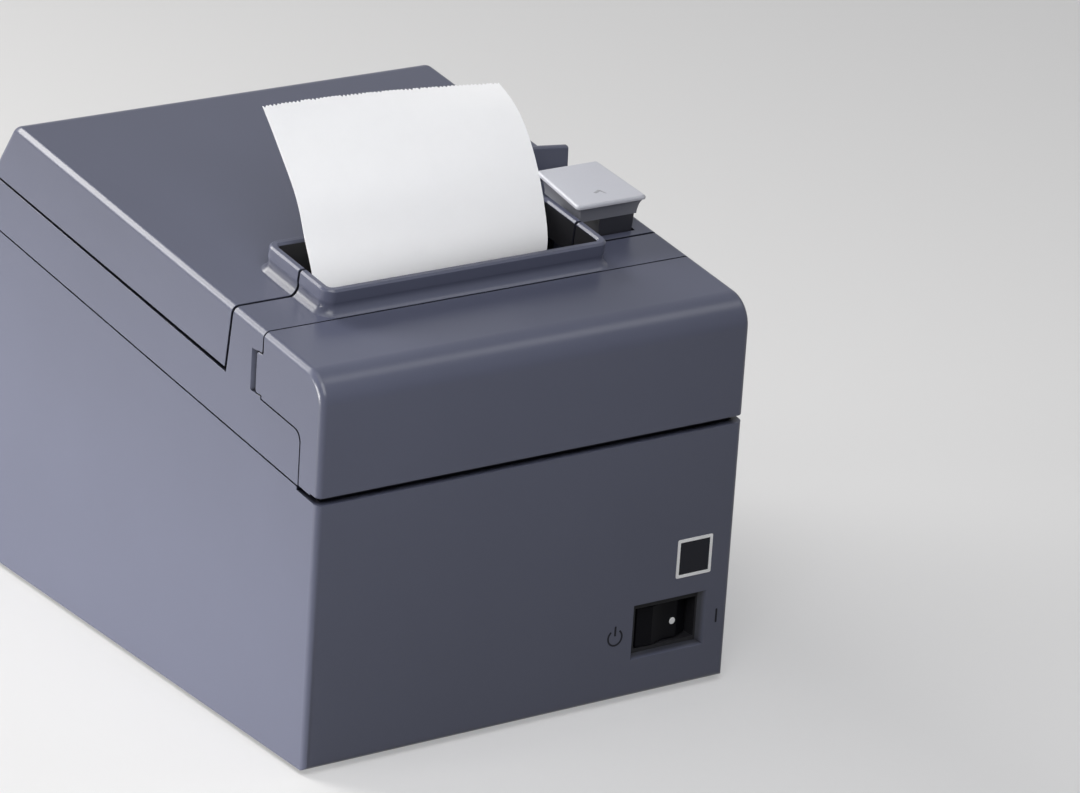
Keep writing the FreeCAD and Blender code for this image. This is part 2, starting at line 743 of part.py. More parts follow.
def idler_gear():
    body = gear(idler_teeth, gear_x0, gear_x1, idler_s, idler_n, 2.0 + fit, idler_tooth)
    for i in range(5):
        a = 2 * math.pi * i / 5
        body = body.cut(rod(idler_s + 9.2 * math.cos(a), idler_n + 9.2 * math.sin(a), 3.0, gear_x0 - 1, gear_x1 + 1))
    return on_deck(body)


def motor_can(s, n, radius, x0, x1):
    body = rod(s, n, radius, x0, x1)
    return body.makeFillet(0.8, [e for e in body.Edges if e.Length > 10])


def feed_motor():
    x1 = plate_right - plate_thick
    can = motor_can(motor_s, motor_n, motor_radius, x1 - motor_length, x1 - 0.8)
    flange = slab(x1 - 0.8, x1, motor_s - 5.0, motor_s + 5.0, motor_n - 7.0, motor_n + 14.0)
    body = join(can, flange).cut(rod(motor_s, motor_n, 1.6, x1 - 10, x1 + 1))
    return on_deck(body)


def motor_pinion():
    body = gear(pinion_teeth, gear_x0, gear_x1, motor_s, motor_n, 0, motor_tooth)
    shaft = rod(motor_s, motor_n, 1.5, plate_right - plate_thick - 8.0, gear_x0)
    return on_deck(join(body, shaft))


def head_heatsink():
    s1 = paper_s - paper_thick / 2 - head_gap - ceramic_thick
    s0 = s1 - heatsink_thick
    body = slab(platen_x0 - 2.0, platen_x1 + 2.0, s0, s1, nip_n - 13.0, nip_n + 8.0)
    ears = slab(plate_left + plate_thick, plate_right - plate_thick, s0, s1, nip_n - 13.0, nip_n - 8.0)
    return on_deck(join(body, ears))


def head_ceramic():
    s1 = paper_s - paper_thick / 2 - head_gap
    return on_deck(slab(platen_x0 - 1.0, platen_x1 + 1.0, s1 - ceramic_thick, s1, nip_n - 11.0, nip_n + 7.0))


def head_bracket():
    s1 = paper_s - paper_thick / 2 - head_gap - ceramic_thick - heatsink_thick - 5.0
    body = slab(plate_left + plate_thick, plate_right - plate_thick, s1 - plate_thick, s1, nip_n - 5.0, nip_n + 5.0)
    return on_deck(body)


def head_springs():
    """Three bowed leaf springs that press the head against the platen."""
    s1 = paper_s - paper_thick / 2 - head_gap - ceramic_thick - heatsink_thick
    s0 = s1 - 5.0
    parts = []
    for k in (0.2, 0.5, 0.8):
        x = platen_x0 + (platen_x1 - platen_x0) * k
        outer = Part.Arc(V(0, s0, nip_n - 4.5), V(0, s1, nip_n), V(0, s0, nip_n + 4.5)).toShape()
        inner = Part.Arc(V(0, s0, nip_n + 3.8), V(0, s1 - 0.5, nip_n), V(0, s0, nip_n - 3.8)).toShape()
        face = Part.Face(Part.Wire([outer, Part.makeLine(V(0, s0, nip_n + 4.5), V(0, s0, nip_n + 3.8)), inner,
                                    Part.makeLine(V(0, s0, nip_n - 3.8), V(0, s0, nip_n - 4.5))]))
        face.translate(V(x - 3.5, 0, 0))
        parts.append(face.extrude(V(7.0, 0, 0)))
    return on_deck(Part.makeCompound(parts))


def cutter_guide():
    low = blade_n + blade_thick / 2 + running_gap
    body = slab(plate_left + plate_thick, plate_right - plate_thick, frame_front + 1.0, paper_s - 5.5, low, low + 1.2)
    for x in (platen_x0 + 20.0, platen_x1 - 20.0):
        body = body.cut(Part.makeCylinder(5.0, 6.0, V(x, frame_front + 15.0, low - 2)))
    return on_deck(body)


def moving_blade():
    """Blade plate with a shallow V edge and two racks under it."""
    low = blade_n - blade_thick / 2
    s0 = frame_front + 1.5
    s1 = paper_s - blade_rest
    x0 = plate_left + plate_thick + 0.4
    x1 = plate_right - plate_thick - 0.4
    xm = (x0 + x1) / 2
    nose0 = rim_left + rim_thick + 0.5
    nose1 = platen_x1 + 1.5
    points = [V(x0, s0, low), V(x1, s0, low), V(x1, s1 - 5.0, low), V(nose1, s1 - 5.0, low), V(nose1, s1, low),
              V(xm, s1 - 3.0, low), V(nose0, s1, low), V(nose0, s1 - 5.0, low), V(x0, s1 - 5.0, low)]
    plate = Part.Face(Part.makePolygon(points + [points[0]])).extrude(V(0, 0, blade_thick))
    racks = [rack(a, b, s0, low) for a, b in rack_places]
    return on_deck(join(plate, *racks))


def rack(x0, x1, s0, top):
    """Rack with downward teeth; a gap stands over the shaft at rest."""
    pitch = math.pi * gear_module
    lean = math.tan(math.radians(20))
    tip = rack_line - 0.8 * gear_module
    root = rack_line + 1.1 * gear_module
    quarter = pitch / 4 - 0.07
    centre = cutter_shaft_s + pitch / 2 + pitch * 2
    points = []
    total = int((centre - s0) / pitch)
    for i in range(total + 1):
        c = centre - (total - i) * pitch
        points += [(c - quarter - 1.1 * gear_module * lean, root), (c - quarter + 0.8 * gear_module * lean, tip),
                   (c + quarter - 0.8 * gear_module * lean, tip), (c + quarter + 1.1 * gear_module * lean, root)]
    points = [(s0, top)] + [(s0, root)] + [p for p in points if p[0] > s0 + 0.05]
    points += [(centre + pitch / 2, root), (centre + pitch / 2, top)]
    return prism(plain(points), x0, x1)


def cutter_shaft():
    body = rod(cutter_shaft_s, cutter_shaft_n, cutter_shaft_radius, cutter_x0 - 1.0, plate_right + 0.8)
    parts = [gear(cutter_teeth, cutter_x0, cutter_x1, cutter_shaft_s, cutter_shaft_n, 0, cutter_gear_tooth)]
    for x0, x1 in rack_places:
        parts.append(gear(pinion_teeth, x0, x1, cutter_shaft_s, cutter_shaft_n, 0, 90.0))
    return on_deck(join(body, *parts))


def cutter_motor():
    x0 = plate_left + plate_thick
    can = motor_can(cutter_shaft_s, cutter_motor_n, cutter_motor_radius, x0, x0 + cutter_motor_length)
    return on_deck(can.cut(rod(cutter_shaft_s, cutter_motor_n, 1.1, x0 - 1, x0 + 10)))


def cutter_pinion():
    body = gear(pinion_teeth, cutter_x0, cutter_x1, cutter_shaft_s, cutter_motor_n, 0, cutter_motor_tooth)
    return on_deck(join(body, rod(cutter_shaft_s, cutter_motor_n, 1.0, cutter_x1, plate_left + plate_thick + 8.0)))


def roll_bucket():
    """Drop-in cradle: leaning front wall, round floor, upright rear wall, two ends."""
    def trough(grow, x0, x1):
        r = bucket_radius + grow
        round_floor = rod(roll_y, bucket_z, r, x0, x1)
        above = box(x0, x1, roll_y - r, roll_y + r, bucket_z, deck_front + 40)
        ahead = on_deck(slab(x0 - 1, x1 + 1, -60, bucket_front - grow, -140, 60))
        return join(round_floor, above).cut(ahead)
    outer = trough(bucket_wall, bucket_x0 - bucket_wall, bucket_x1 + bucket_wall)
    body = outer.cut(trough(0.0, bucket_x0, bucket_x1))
    body = body.cut(on_deck(slab(-half, half, -40, 260, shelf_n - shelf_thick, 120)))
    return body.cut(on_deck(slab(-half, half, -40, shelf_front - 1.0, nip_n - 15.0, 120)))


def paper_roll():
    return tube(roll_y, roll_z, roll_radius, core_radius + core_wall, paper_left, paper_right)


def roll_core():
    return tube(roll_y, roll_z, core_radius + core_wall, core_radius, paper_left, paper_right)


def paper_web():
    top = blade_n - blade_thick / 2 - 0.5
    return on_deck(slab(paper_left, paper_right, paper_s - paper_thick / 2, paper_s + paper_thick / 2, roll_n, top))


def strip_edge(x, places):
    """Outline of one edge of the printed strip, from the blade up through the exit and along its curl."""
    rows = [deck_point(paper_s, blade_n + blade_thick / 2 + 0.9), deck_point(paper_s, -8.5), deck_point(paper_s, -3.0)]
    rows += [(front + away, deck_front + up) for away, up in places]
    centre = Part.BSplineCurve()
    centre.interpolate([V(x, y, z) for y, z in rows])
    first, last = centre.FirstParameter, centre.LastParameter
    sides = [[], []]
    for i in range(15):
        u = first + (last - first) * i / 14
        t = centre.tangent(u)[0]
        across = V(0, -t.z, t.y) * (paper_thick / 2)
        sides[0].append(centre.value(u) + across)
        sides[1].append(centre.value(u) - across)
    faces = []
    for points in sides:
        curve = Part.BSplineCurve()
        curve.interpolate(points)
        faces.append(curve.toShape())
    return Part.Wire([faces[0], Part.makeLine(sides[0][-1], sides[1][-1]), faces[1],
                      Part.makeLine(sides[1][0], sides[0][0])])


def receipt():
    """Printed strip that leaves the exit and curls back, its left edge a little further than its right."""
    left = strip_edge(paper_left, curl_left)
    right = strip_edge(paper_right, curl_right)
    return Part.makeLoft([left, right], True, True)


def screw_places():
    x = half - wall - 3.2
    return [(side * x, y) for side in (-1, 1) for y in (front + 22.0, 0.0, rear - 22.0)]


def board_posts():
    x = half - board_inset - 6.0
    return [(-x, rear - 85.0), (x, rear - 85.0), (-x, rear - 25.0), (x, rear - 25.0)]


def foot_places():
    return [(side * (half - 15.0), y) for side in (-1, 1) for y in (front + 15.0, rear - 15.0)]


def bottom_plate():
    gap = 0.4
    low = foot_height
    body = box(-half + wall + gap, half - wall - gap, front + wall + gap, rear - wall - gap, low, low + wall)
    posts = [post(x, y, 3.0, low + wall, board_z) for x, y in board_posts()]
    body = join(body, *posts)
    for x, y in screw_places():
        body = body.cut(post(x, y, 1.5, low - 1, low + wall + 1))
        body = body.cut(post(x, y, 2.9, low - 1, low + 1.0))
    return body


def bottom_screws():
    low = foot_height
    parts = []
    for x, y in screw_places():
        head = post(x, y, 2.6, low + 0.2, low + 1.0)
        parts.append(join(head, post(x, y, 1.3, low + 1.0, low + wall + 2.0)))
    return Part.makeCompound(parts)


def rubber_feet():
    parts = []
    for x, y in foot_places():
        foot = Part.makeCone(6.2, 7.0, foot_height, V(x, y, 0))
        parts.append(foot)
    return Part.makeCompound(parts)


def main_board():
    y1 = rear - bay_depth - 2.5
    return box(-half + board_inset, half - board_inset, rear - 92.0, y1, board_z, board_z + board_thick)


def board_parts():
    z = board_z + board_thick
    parts = [box(-20.0, -6.0, rear - 70.0, rear - 56.0, z, z + 1.6), box(10.0, 22.0, rear - 74.0, rear - 66.0, z, z + 1.4)]
    for x in (-40.0, -28.0):
        parts.append(post(x, rear - 52.0, 5.0, z, z + 14.0))
    return Part.makeCompound(parts)


def connector_panel():
    y0 = rear - bay_depth - 1.2
    body = box(-bay_half, bay_half, y0, y0 + 1.2, bay_low, bay_high)
    for x0, x1, high, name in sockets():
        z = board_z + board_thick
        body = body.cut(box(x0 - 0.3, x1 + 0.3, y0 - 1, y0 + 3, z - 0.3, z + high + 0.3))
    return body


def sockets():
    return [(-44.0, -29.0, 13.5, "power_inlet"), (-8.0, 6.0, 13.0, "drawer_socket"), (24.0, 36.0, 11.0, "usb_socket")]


def socket(x0, x1, high, name):
    z = board_z + board_thick
    y1 = rear - bay_depth + 0.4
    body = box(x0, x1, y1 - 17.0, y1, z, z + high)
    xm = (x0 + x1) / 2
    zm = z + high / 2
    if name == "power_inlet":
        body = body.cut(Part.makeCylinder(4.9, 10.0, V(xm, y1 - 9.0, zm), V(0, 1, 0)))
        for i in range(3):
            a = math.radians(90 + 120 * i)
            pin = Part.makeCylinder(0.6, 4.9, V(xm + 2.6 * math.cos(a), y1 - 9.5, zm + 2.6 * math.sin(a)), V(0, 1, 0))
            body = body.fuse(pin)
    elif name == "drawer_socket":
        body = body.cut(box(xm - 5.0, xm + 5.0, y1 - 11.0, y1 + 1, zm - 3.3, zm + 3.3))
        body = body.cut(box(xm - 2.0, xm + 2.0, y1 - 11.0, y1 + 1, zm - 5.2, zm))
    else:
        body = body.cut(box(xm - 4.25, xm + 4.25, y1 - 9.0, y1 + 1, zm - 3.9, zm + 3.9))
        body = body.fuse(box(xm - 2.8, xm + 2.8, y1 - 9.5, y1 - 1.5, zm - 1.6, zm + 1.6))
    return body.removeSplitter()


def switch_housing():
    y0 = front + recess_depth
    w, h = rocker_width / 2 + 0.8, rocker_height / 2 + 0.8
    body = box(switch_x - w, switch_x + w, y0, y0 + 15.0, switch_z - h, switch_z + h)
    hollow = box(switch_x - rocker_width / 2 - 0.15, switch_x + rocker_width / 2 + 0.15, y0 - 1, y0 + 9.0,
                 switch_z - rocker_height / 2 + 0.35, switch_z + rocker_height / 2 - 0.35)
    body = body.cut(hollow)
    axle = Part.makeCylinder(1.2, 2 * h, V(switch_x, y0 + 3.2, switch_z - h))
    return body.cut(axle)


def switch_rocker():
    """Two-way rocker on an upright axle; the right half is pressed in."""
    y0 = front + recess_depth + 3.2
    w = rocker_width / 2 - 0.6
    h = rocker_height / 2 - 0.2 - 0.35
    points = [V(-w, -1.2, 0), V(-w * 0.5, -2.6, 0), V(0, -1.9, 0), V(w * 0.5, -2.6, 0), V(w, -1.2, 0), V(w, 1.6, 0),
              V(2.0, 3.6, 0), V(-2.0, 3.6, 0), V(-w, 1.6, 0)]
    body = Part.Face(Part.makePolygon(points + [points[0]])).extrude(V(0, 0, 2 * h))
    body.translate(V(0, 0, -h))
    axle = Part.makeCylinder(1.2 - fit, rocker_height + 1.2, V(0, 0, -rocker_height / 2 - 0.6))
    body = join(body, axle)
    body.rotate(V(0, 0, 0), V(0, 0, 1), rocker_tilt)
    body.translate(V(switch_x, y0, switch_z))
    return body


os.makedirs("parts", exist_ok=True)
skin = shell()
pieces = {
    "lower_case": lower_case(skin),
    "upper_case": upper_case(skin),
    "cutter_cover": cutter_cover(skin),
    "roll_cover": roll_cover(skin),
    "hinge_pins": hinge_pins(),
    "cover_lever": cover_lever(),
    "lever_pin": lever_pin(),
    "platen_holder": platen_holder(),
    "platen_bushes": platen_bushes(),
    "platen_shaft": platen_shaft(),
    "platen_rubber": platen_rubber(),
    "platen_gear": platen_gear(),
    "fixed_blade": fixed_blade(),
    "mech_frame": mech_frame(),
    "idler_stud": idler_stud(),
    "idler_gear": idler_gear(),
    "feed_motor": feed_motor(),
    "motor_pinion": motor_pinion(),
    "head_heatsink": head_heatsink(),
    "head_ceramic": head_ceramic(),
    "head_bracket": head_bracket(),
    "head_springs": head_springs(),
    "cutter_guide": cutter_guide(),
    "moving_blade": moving_blade(),
    "cutter_shaft": cutter_shaft(),
    "cutter_motor": cutter_motor(),
    "cutter_pinion": cutter_pinion(),
    "roll_bucket": roll_bucket(),
    "paper_roll": paper_roll(),
    "roll_core": roll_core(),
    "paper_web": paper_web(),
    "receipt": receipt(),
    "bottom_plate": bottom_plate(),
    "bottom_screws": bottom_screws(),
    "rubber_feet": rubber_feet(),
    "main_board": main_board(),
    "board_parts": board_parts(),
    "connector_panel": connector_panel(),
    "switch_housing": switch_housing(),
    "switch_rocker": switch_rocker(),
}
for x0, x1, high, name in sockets():
    pieces[name] = socket(x0, x1, high, name)
for name, shape in pieces.items():
    shape.exportStep("parts/" + name + ".step")
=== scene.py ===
import json
import math

import bmesh
import bpy
import numpy as np
from mathutils import Matrix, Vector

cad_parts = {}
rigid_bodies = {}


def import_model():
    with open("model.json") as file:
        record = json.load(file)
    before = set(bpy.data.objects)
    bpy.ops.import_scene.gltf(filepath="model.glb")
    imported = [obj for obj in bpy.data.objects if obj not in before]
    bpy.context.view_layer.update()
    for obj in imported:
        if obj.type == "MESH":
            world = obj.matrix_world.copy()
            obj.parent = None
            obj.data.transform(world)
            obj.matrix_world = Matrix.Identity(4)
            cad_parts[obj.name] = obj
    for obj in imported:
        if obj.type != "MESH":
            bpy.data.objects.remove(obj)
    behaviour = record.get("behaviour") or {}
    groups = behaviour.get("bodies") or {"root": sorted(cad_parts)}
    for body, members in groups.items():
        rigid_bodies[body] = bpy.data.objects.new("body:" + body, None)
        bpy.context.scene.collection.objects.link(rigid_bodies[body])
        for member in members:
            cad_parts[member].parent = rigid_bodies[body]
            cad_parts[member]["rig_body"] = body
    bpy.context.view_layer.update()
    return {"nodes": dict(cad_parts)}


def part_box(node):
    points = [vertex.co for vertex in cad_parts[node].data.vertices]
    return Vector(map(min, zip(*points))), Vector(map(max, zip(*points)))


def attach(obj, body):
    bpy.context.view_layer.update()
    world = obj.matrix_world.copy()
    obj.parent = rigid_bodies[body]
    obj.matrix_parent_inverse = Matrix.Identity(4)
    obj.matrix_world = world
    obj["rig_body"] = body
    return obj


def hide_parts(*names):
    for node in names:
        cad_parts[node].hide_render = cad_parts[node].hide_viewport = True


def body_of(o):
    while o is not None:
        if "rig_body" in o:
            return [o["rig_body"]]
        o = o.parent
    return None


bl_info = {
    "name": "Receipt printer",
    "version": (1, 0, 0),
    "blender": (4, 5, 0),
    "location": "3D View > Sidebar > Receipt printer",
    "description": "Dresses the packed receipt printer with its mouldings, paper, marks and finishes",
    "category": "Object",
}

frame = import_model()

# Case in millimetres: front face, half width, front and slope of the deck, and height of the feet
MM = 0.001
FRONT = -97.5
HALF = 74.25
WALL = 2.5
DECK_FRONT = 120.1
DECK_TILT = math.radians(7.52)
DECK_UP = (math.cos(DECK_TILT), math.sin(DECK_TILT))
DECK_OUT = (-math.sin(DECK_TILT), math.cos(DECK_TILT))
FOOT = 1.5

# Strip of paper: its left and right edges, its place on the deck, and the places along each edge of its curl,
# as distance behind the front face and height above the deck's front
STRIP_LEFT = -49.7
STRIP_RIGHT = 29.8
STRIP_S = 43.7
STRIP_ROOTS = (-12.5, -8.5, -3.0)
CURL_LEFT = ((44.2, 10.4), (49.4, 21.7), (53.8, 30.8), (61.4, 40.3), (70.1, 49.6), (74.7, 54.2))
CURL_RIGHT = ((41.9, 9.1), (43.6, 19.2), (46.8, 27.4), (53.6, 39.0), (62.1, 47.2), (71.3, 51.4))

# Room inside the paper exit, whose walls get painted shade: middle and half width, middle and half length up
# the deck, and height of its lip
EXIT = (-3.85, 46.85, 49.85, 14.3, 7.2)

# Recess of the power switch, whose walls get painted shade: middle and half width, middle and half height,
# and depth of its sloping walls
SWITCH_X, SWITCH_Z = 52.25, 22.15
RECESS_DEPTH = 2.1
RECESS = (SWITCH_X, 13.2, SWITCH_Z, 8.65, RECESS_DEPTH)

# Lever: heights over the deck of its top and of the feet of its cap and neck, below which painted shade
# darkens the lever, and its arrow's line and half width
LEVER_TOP = 11.5
CAP_FOOT = 10.2
NECK_FOOT = 5.55
ARROW = ((55.2, 56.4), (57.6, 57.6), (58.2, 55.4))
ARROW_HALF = 0.3

# Power switch: its pivot, the tilt of its rocker at rest, the rise and run of the rocker's sloping half,
# the depth of the rocker's middle, and the place of the dot along that half and below the middle
PIVOT = (SWITCH_X, FRONT + RECESS_DEPTH + 3.2, SWITCH_Z)
ROCKER_TILT = math.radians(9.0)
ROCKER_RISE, ROCKER_RUN = -0.7, 5.1
ROCKER_FACE = -1.9
DOT_ALONG, DOT_DROP = 3.6, -0.7

# Marks on the front: middle of the power sign, the on bar's sides, and the bare plate's box and border
SIGN_X, SIGN_Z = 32.85, 20.4 + FOOT
SIGN_OUTER, SIGN_INNER = 2.75, 2.2
ON_BAR = (69.45, 70.05)
PLATE = (53.55, 66.25, 35.1 + FOOT, 47.3 + FOOT)
PLATE_BORDER = 1.0
SUNK = 0.05

# Underside: places of the feet and distance of the screws from the case's inner wall and from its ends
FEET_X, FEET_Y = 59.25, 82.5
SCREW_INSET, SCREW_END = 3.2, 22.0

# Rounding of the lesser mouldings in metres: trays and rocker, sockets, bent sheet, and the roll's core
TRAY_EDGE, SOCKET_EDGE, SHEET_EDGE, CORE_EDGE = 0.3 * MM, 0.2 * MM, 0.12 * MM, 0.1 * MM

# Paper roll: radius of its bore, and how far the radius falls in one turn
BORE = 11.05
TURN_FALL = 0.22

# Range of a group's Tone over which colour and roughness change, and strength of the bumps
TONE_LOW, TONE_HIGH = 0.25, 0.95
BUMP_STRENGTH = 0.5

# Painted shade in the seams: how near a surface has to be to hide the sky, and the open sky on a clear face
# and in a shut seam
SEAM_SHADE_REACH = 3.0
SKY_CLEAR, SKY_SHUT = 0.78, 0.35


def deck_point(s, n):
    """Place of a point s up the sloping deck and n out of it, as y and z in millimetres."""
    s = np.asarray(s, float)
    n = np.asarray(n, float)
    y = FRONT + s * math.cos(DECK_TILT) - n * math.sin(DECK_TILT)
    z = DECK_FRONT + s * math.sin(DECK_TILT) + n * math.cos(DECK_TILT)
    return y, z


# Sizes and colours that a user would change


def colour(name, description, value):
    return bpy.props.FloatVectorProperty(
        name=name, description=description, default=value, size=3, min=0.0, max=1.0, subtype="COLOR")


def length(name, description, value):
    return bpy.props.FloatProperty(name=name, description=description, default=value, min=0.0, unit="LENGTH")


def power(name, description, value):
    return bpy.props.FloatProperty(name=name, description=description, default=value, min=0.0, unit="POWER")


def share(name, description, value):
    return bpy.props.FloatProperty(name=name, description=description, default=value, min=0.0, max=1.0)


class PrinterFinishes(bpy.types.PropertyGroup):
    case: colour("Case", "Dark cool grey of the mouldings", (0.082, 0.089, 0.134))
    lever: colour("Lever", "Light grey of the cover lever", (0.50, 0.51, 0.565))
    # Painted shade: the lever's own light grey darkened on its neck under the overhang of the cap
    neck_shade: colour("Lever neck", "Grey of the lever's neck", (0.17, 0.175, 0.205))
    # The stem's dark plastic, darkened further by painted shade under the cap
    stem_dark_and_shade: colour("Lever stem", "Dark grey of the lever's stem", (0.030, 0.031, 0.040))
    # Painted shade: near black laid deep in the seams and hollows, where nearby faces hide the sky
    seam_shade: colour("Crevices", "Near black deep in the seams", (0.004, 0.004, 0.006))
    # Painted shade: darker grey laid the deeper into the recess of the switch
    recess_shade: colour("Recess", "Darker grey deep in the recess of the switch", (0.030, 0.032, 0.045))
    # Black of the inner mouldings, which is also laid as painted shade on the case's walls inside the paper
    # exit
    inner: colour("Inner plastic", "Black of the inner mouldings", (0.018, 0.018, 0.021))
    switch: colour("Switch", "Black of the power switch", (0.006, 0.006, 0.008))
    nylon: colour("Gears", "Off-white of the nylon gears", (0.70, 0.68, 0.61))
    paper: colour("Paper", "White of the receipt paper", (0.945, 0.95, 0.975))
    ink: colour("Dark print", "Marks printed on the case", (0.020, 0.021, 0.027))
    white: colour("White print", "Dot on the switch and border of the plate", (0.94, 0.945, 0.96))
    mark: colour("Grey print", "Faint arrow on the lever", (0.34, 0.345, 0.38))


class PrinterSizes(bpy.types.PropertyGroup):
    edge: length("Moulding edge", "Rounding along the seams of the mouldings", 0.35 * MM)
    lever_edge: length("Lever edge", "Rounding of the lever", 0.25 * MM)
    strip: length("Strip thickness", "Thickness of the strip of paper", 0.12 * MM)
    tooth: length("Tear tooth", "Pitch of the teeth along the torn edge", 1.3 * MM)
    tear: length("Tear depth", "Depth of the teeth along the torn edge", 0.9 * MM)
    bow: length("Tear bow", "How far the torn edge bows out in its middle", 1.2 * MM)
    print_height: length("Print height", "How far the marks stand proud", 0.08 * MM)


class PrinterStage(bpy.types.PropertyGroup):
    key: power("Key", "Power of the light low on the left", 0.62)
    rim: power("Rim", "Power of the light behind, which draws the left edge", 13.5)
    top: power("Top", "Power of the light overhead", 4.0)
    brow: power("Brow", "Power of the light on the right, which draws the front edge", 0.9)
    front: power("Front", "Power of the light in front", 0.66)
    warm: colour("Warm", "Tint of the lights low on the left and behind", (1.0, 0.98, 0.94))
    sheen: share("Sheen", "How bright the room looks in reflections", 0.56)
    floor: colour("Floor", "Pale grey of the floor", (0.80, 0.80, 0.81))
    lit: share("Lit floor", "Share of the floor's tone that follows the light and the shadow", 0.5)
    glow: share("Even floor", "Share of the floor's tone that is even all over", 0.4)
    bounce: share("Bounce", "Share of the floor's light that reaches the object", 0.35)


# Shader groups shared by the finishes


def add(tree, kind, settings=None, **inputs):
    """One shader node; an input takes a value or the socket that feeds it."""
    node = tree.nodes.new("ShaderNode" + kind)
    for key, value in (settings or {}).items():
        setattr(node, key, value)
    for key, value in inputs.items():
        socket = node.inputs[key.replace("_", " ")]
        if isinstance(value, bpy.types.NodeSocket):
            tree.links.new(value, socket)
        else:
            socket.default_value = value
    return node


def group(name, inputs, outputs):
    """Empty shader group with float inputs and outputs, and its two end nodes."""
    tree = bpy.data.node_groups.new(name, "ShaderNodeTree")
    for label, value in inputs.items():
        socket = tree.interface.new_socket(name=label, in_out="INPUT", socket_type="NodeSocketFloat")
        socket.default_value = value
    for label in outputs:
        tree.interface.new_socket(name=label, in_out="OUTPUT", socket_type="NodeSocketFloat")
    return tree, tree.nodes.new("NodeGroupInput"), tree.nodes.new("NodeGroupOutput")


def moulded_grain():
    """Fine pebbled tool texture with a slow drift of tone over it."""
    tree, start, end = group("moulded_grain", {"Scale": 1800.0, "Drift": 24.0}, ("Height", "Tone"))
    place = add(tree, "TexCoord").outputs["Object"]
    pebbles = add(tree, "TexNoise", Vector=place, Scale=start.outputs["Scale"], Detail=2.0, Roughness=0.55)
    drift = add(tree, "TexNoise", Vector=place, Scale=start.outputs["Drift"], Detail=3.0, Roughness=0.5)
    mixed = add(tree, "Math", {"operation": "MULTIPLY_ADD"})
    mixed.inputs[1].default_value = 0.35
    tree.links.new(pebbles.outputs["Fac"], mixed.inputs[0])
    tree.links.new(drift.outputs["Fac"], mixed.inputs[2])
    tree.links.new(pebbles.outputs["Fac"], end.inputs["Height"])
    tree.links.new(mixed.outputs[0], end.inputs["Tone"])
    return tree


def brushed_lines():
    """Long thin scratches along X, as left by rolling and brushing."""
    tree, start, end = group("brushed_lines", {"Scale": 900.0, "Stretch": 0.03}, ("Height", "Tone"))
    place = add(tree, "TexCoord").outputs["Object"]
    squeeze = add(tree, "CombineXYZ", X=start.outputs["Stretch"], Y=1.0, Z=1.0)
    stretched = add(tree, "VectorMath", {"operation": "MULTIPLY"})
    tree.links.new(place, stretched.inputs[0])
    tree.links.new(squeeze.outputs[0], stretched.inputs[1])
    lines = add(tree, "TexNoise", Vector=stretched.outputs[0], Scale=start.outputs["Scale"], Detail=3.0)
    stain = add(tree, "TexNoise", Vector=place, Scale=40.0, Detail=2.0)
    mixed = add(tree, "Math", {"operation": "MULTIPLY"})
    tree.links.new(lines.outputs["Fac"], mixed.inputs[0])
    tree.links.new(stain.outputs["Fac"], mixed.inputs[1])
    tree.links.new(lines.outputs["Fac"], end.inputs["Height"])
    tree.links.new(mixed.outputs[0], end.inputs["Tone"])
    return tree


def paper_fibres():
    """Short pressed fibres and a faint cloudiness, as in uncoated paper held to the light."""
    tree, start, end = group("paper_fibres", {"Scale": 1500.0}, ("Height", "Tone"))
    place = add(tree, "TexCoord").outputs["Object"]
    fibres = add(tree, "TexNoise", Vector=place, Scale=start.outputs["Scale"], Detail=4.0, Distortion=0.8)
    clouds = add(tree, "TexNoise", Vector=place, Scale=140.0, Detail=3.0)
    mixed = add(tree, "Math", {"operation": "MULTIPLY_ADD"})
    mixed.inputs[1].default_value = 0.3
    tree.links.new(fibres.outputs["Fac"], mixed.inputs[0])
    tree.links.new(clouds.outputs["Fac"], mixed.inputs[2])
    tree.links.new(fibres.outputs["Fac"], end.inputs["Height"])
    tree.links.new(mixed.outputs[0], end.inputs["Tone"])
    return tree


# Finishes


def tint(base, factor):
    return tuple(min(1.0, c * factor) for c in base) + (1.0,)


def along_deck(tree, place, axis):
    """Distance of a place along an axis that lies in the YZ plane."""
    measure = add(tree, "VectorMath", {"operation": "DOT_PRODUCT"})
    tree.links.new(place, measure.inputs[0])
    measure.inputs[1].default_value = (0.0, axis[0], axis[1])
    return measure.outputs["Value"]


def compared(tree, operation, value, *limits):
    """One where a value passes a test against fixed limits, and nought elsewhere."""
    test = add(tree, "Math", {"operation": operation})
    tree.links.new(value, test.inputs[0])
    for socket, limit in zip(test.inputs[1:], limits):
        socket.default_value = limit
    return test.outputs[0]


def under_mask(name, n):
    """One on everything lower than a height over the sloping deck."""
    tree, _, end = group(name, {}, ("Mask",))
    place = add(tree, "TexCoord").outputs["Object"]
    height = along_deck(tree, place, DECK_OUT)
    limit = np.dot(deck_point(0.0, n), DECK_OUT) * MM
    tree.links.new(compared(tree, "LESS_THAN", height, limit), end.inputs["Mask"])
    return tree


def all_of(tree, masks):
    """Product of some masks, which is one only where each of them is."""
    mask = masks[0]
    for other in masks[1:]:
        both = add(tree, "Math", {"operation": "MULTIPLY"})
        tree.links.new(mask, both.inputs[0])
        tree.links.new(other, both.inputs[1])
        mask = both.outputs[0]
    return mask


def exit_mask():
    """Painted shade mask: one on the walls inside the paper exit, up to just under their lip."""
    tree, _, end = group("exit_mask", {}, ("Mask",))
    place = add(tree, "TexCoord").outputs["Object"]
    middle_x, half_x, middle_s, half_s, lip = EXIT
    lip_height = np.dot(deck_point(0.0, lip), DECK_OUT) * MM
    middle = np.dot(deck_point(middle_s, 0.0), DECK_UP) * MM
    x = add(tree, "SeparateXYZ", Vector=place).outputs["X"]
    tests = [compared(tree, "COMPARE", x, middle_x * MM, half_x * MM),
             compared(tree, "COMPARE", along_deck(tree, place, DECK_UP), middle, half_s * MM),
             compared(tree, "LESS_THAN", along_deck(tree, place, DECK_OUT), lip_height)]
    tree.links.new(all_of(tree, tests), end.inputs["Mask"])
    return tree


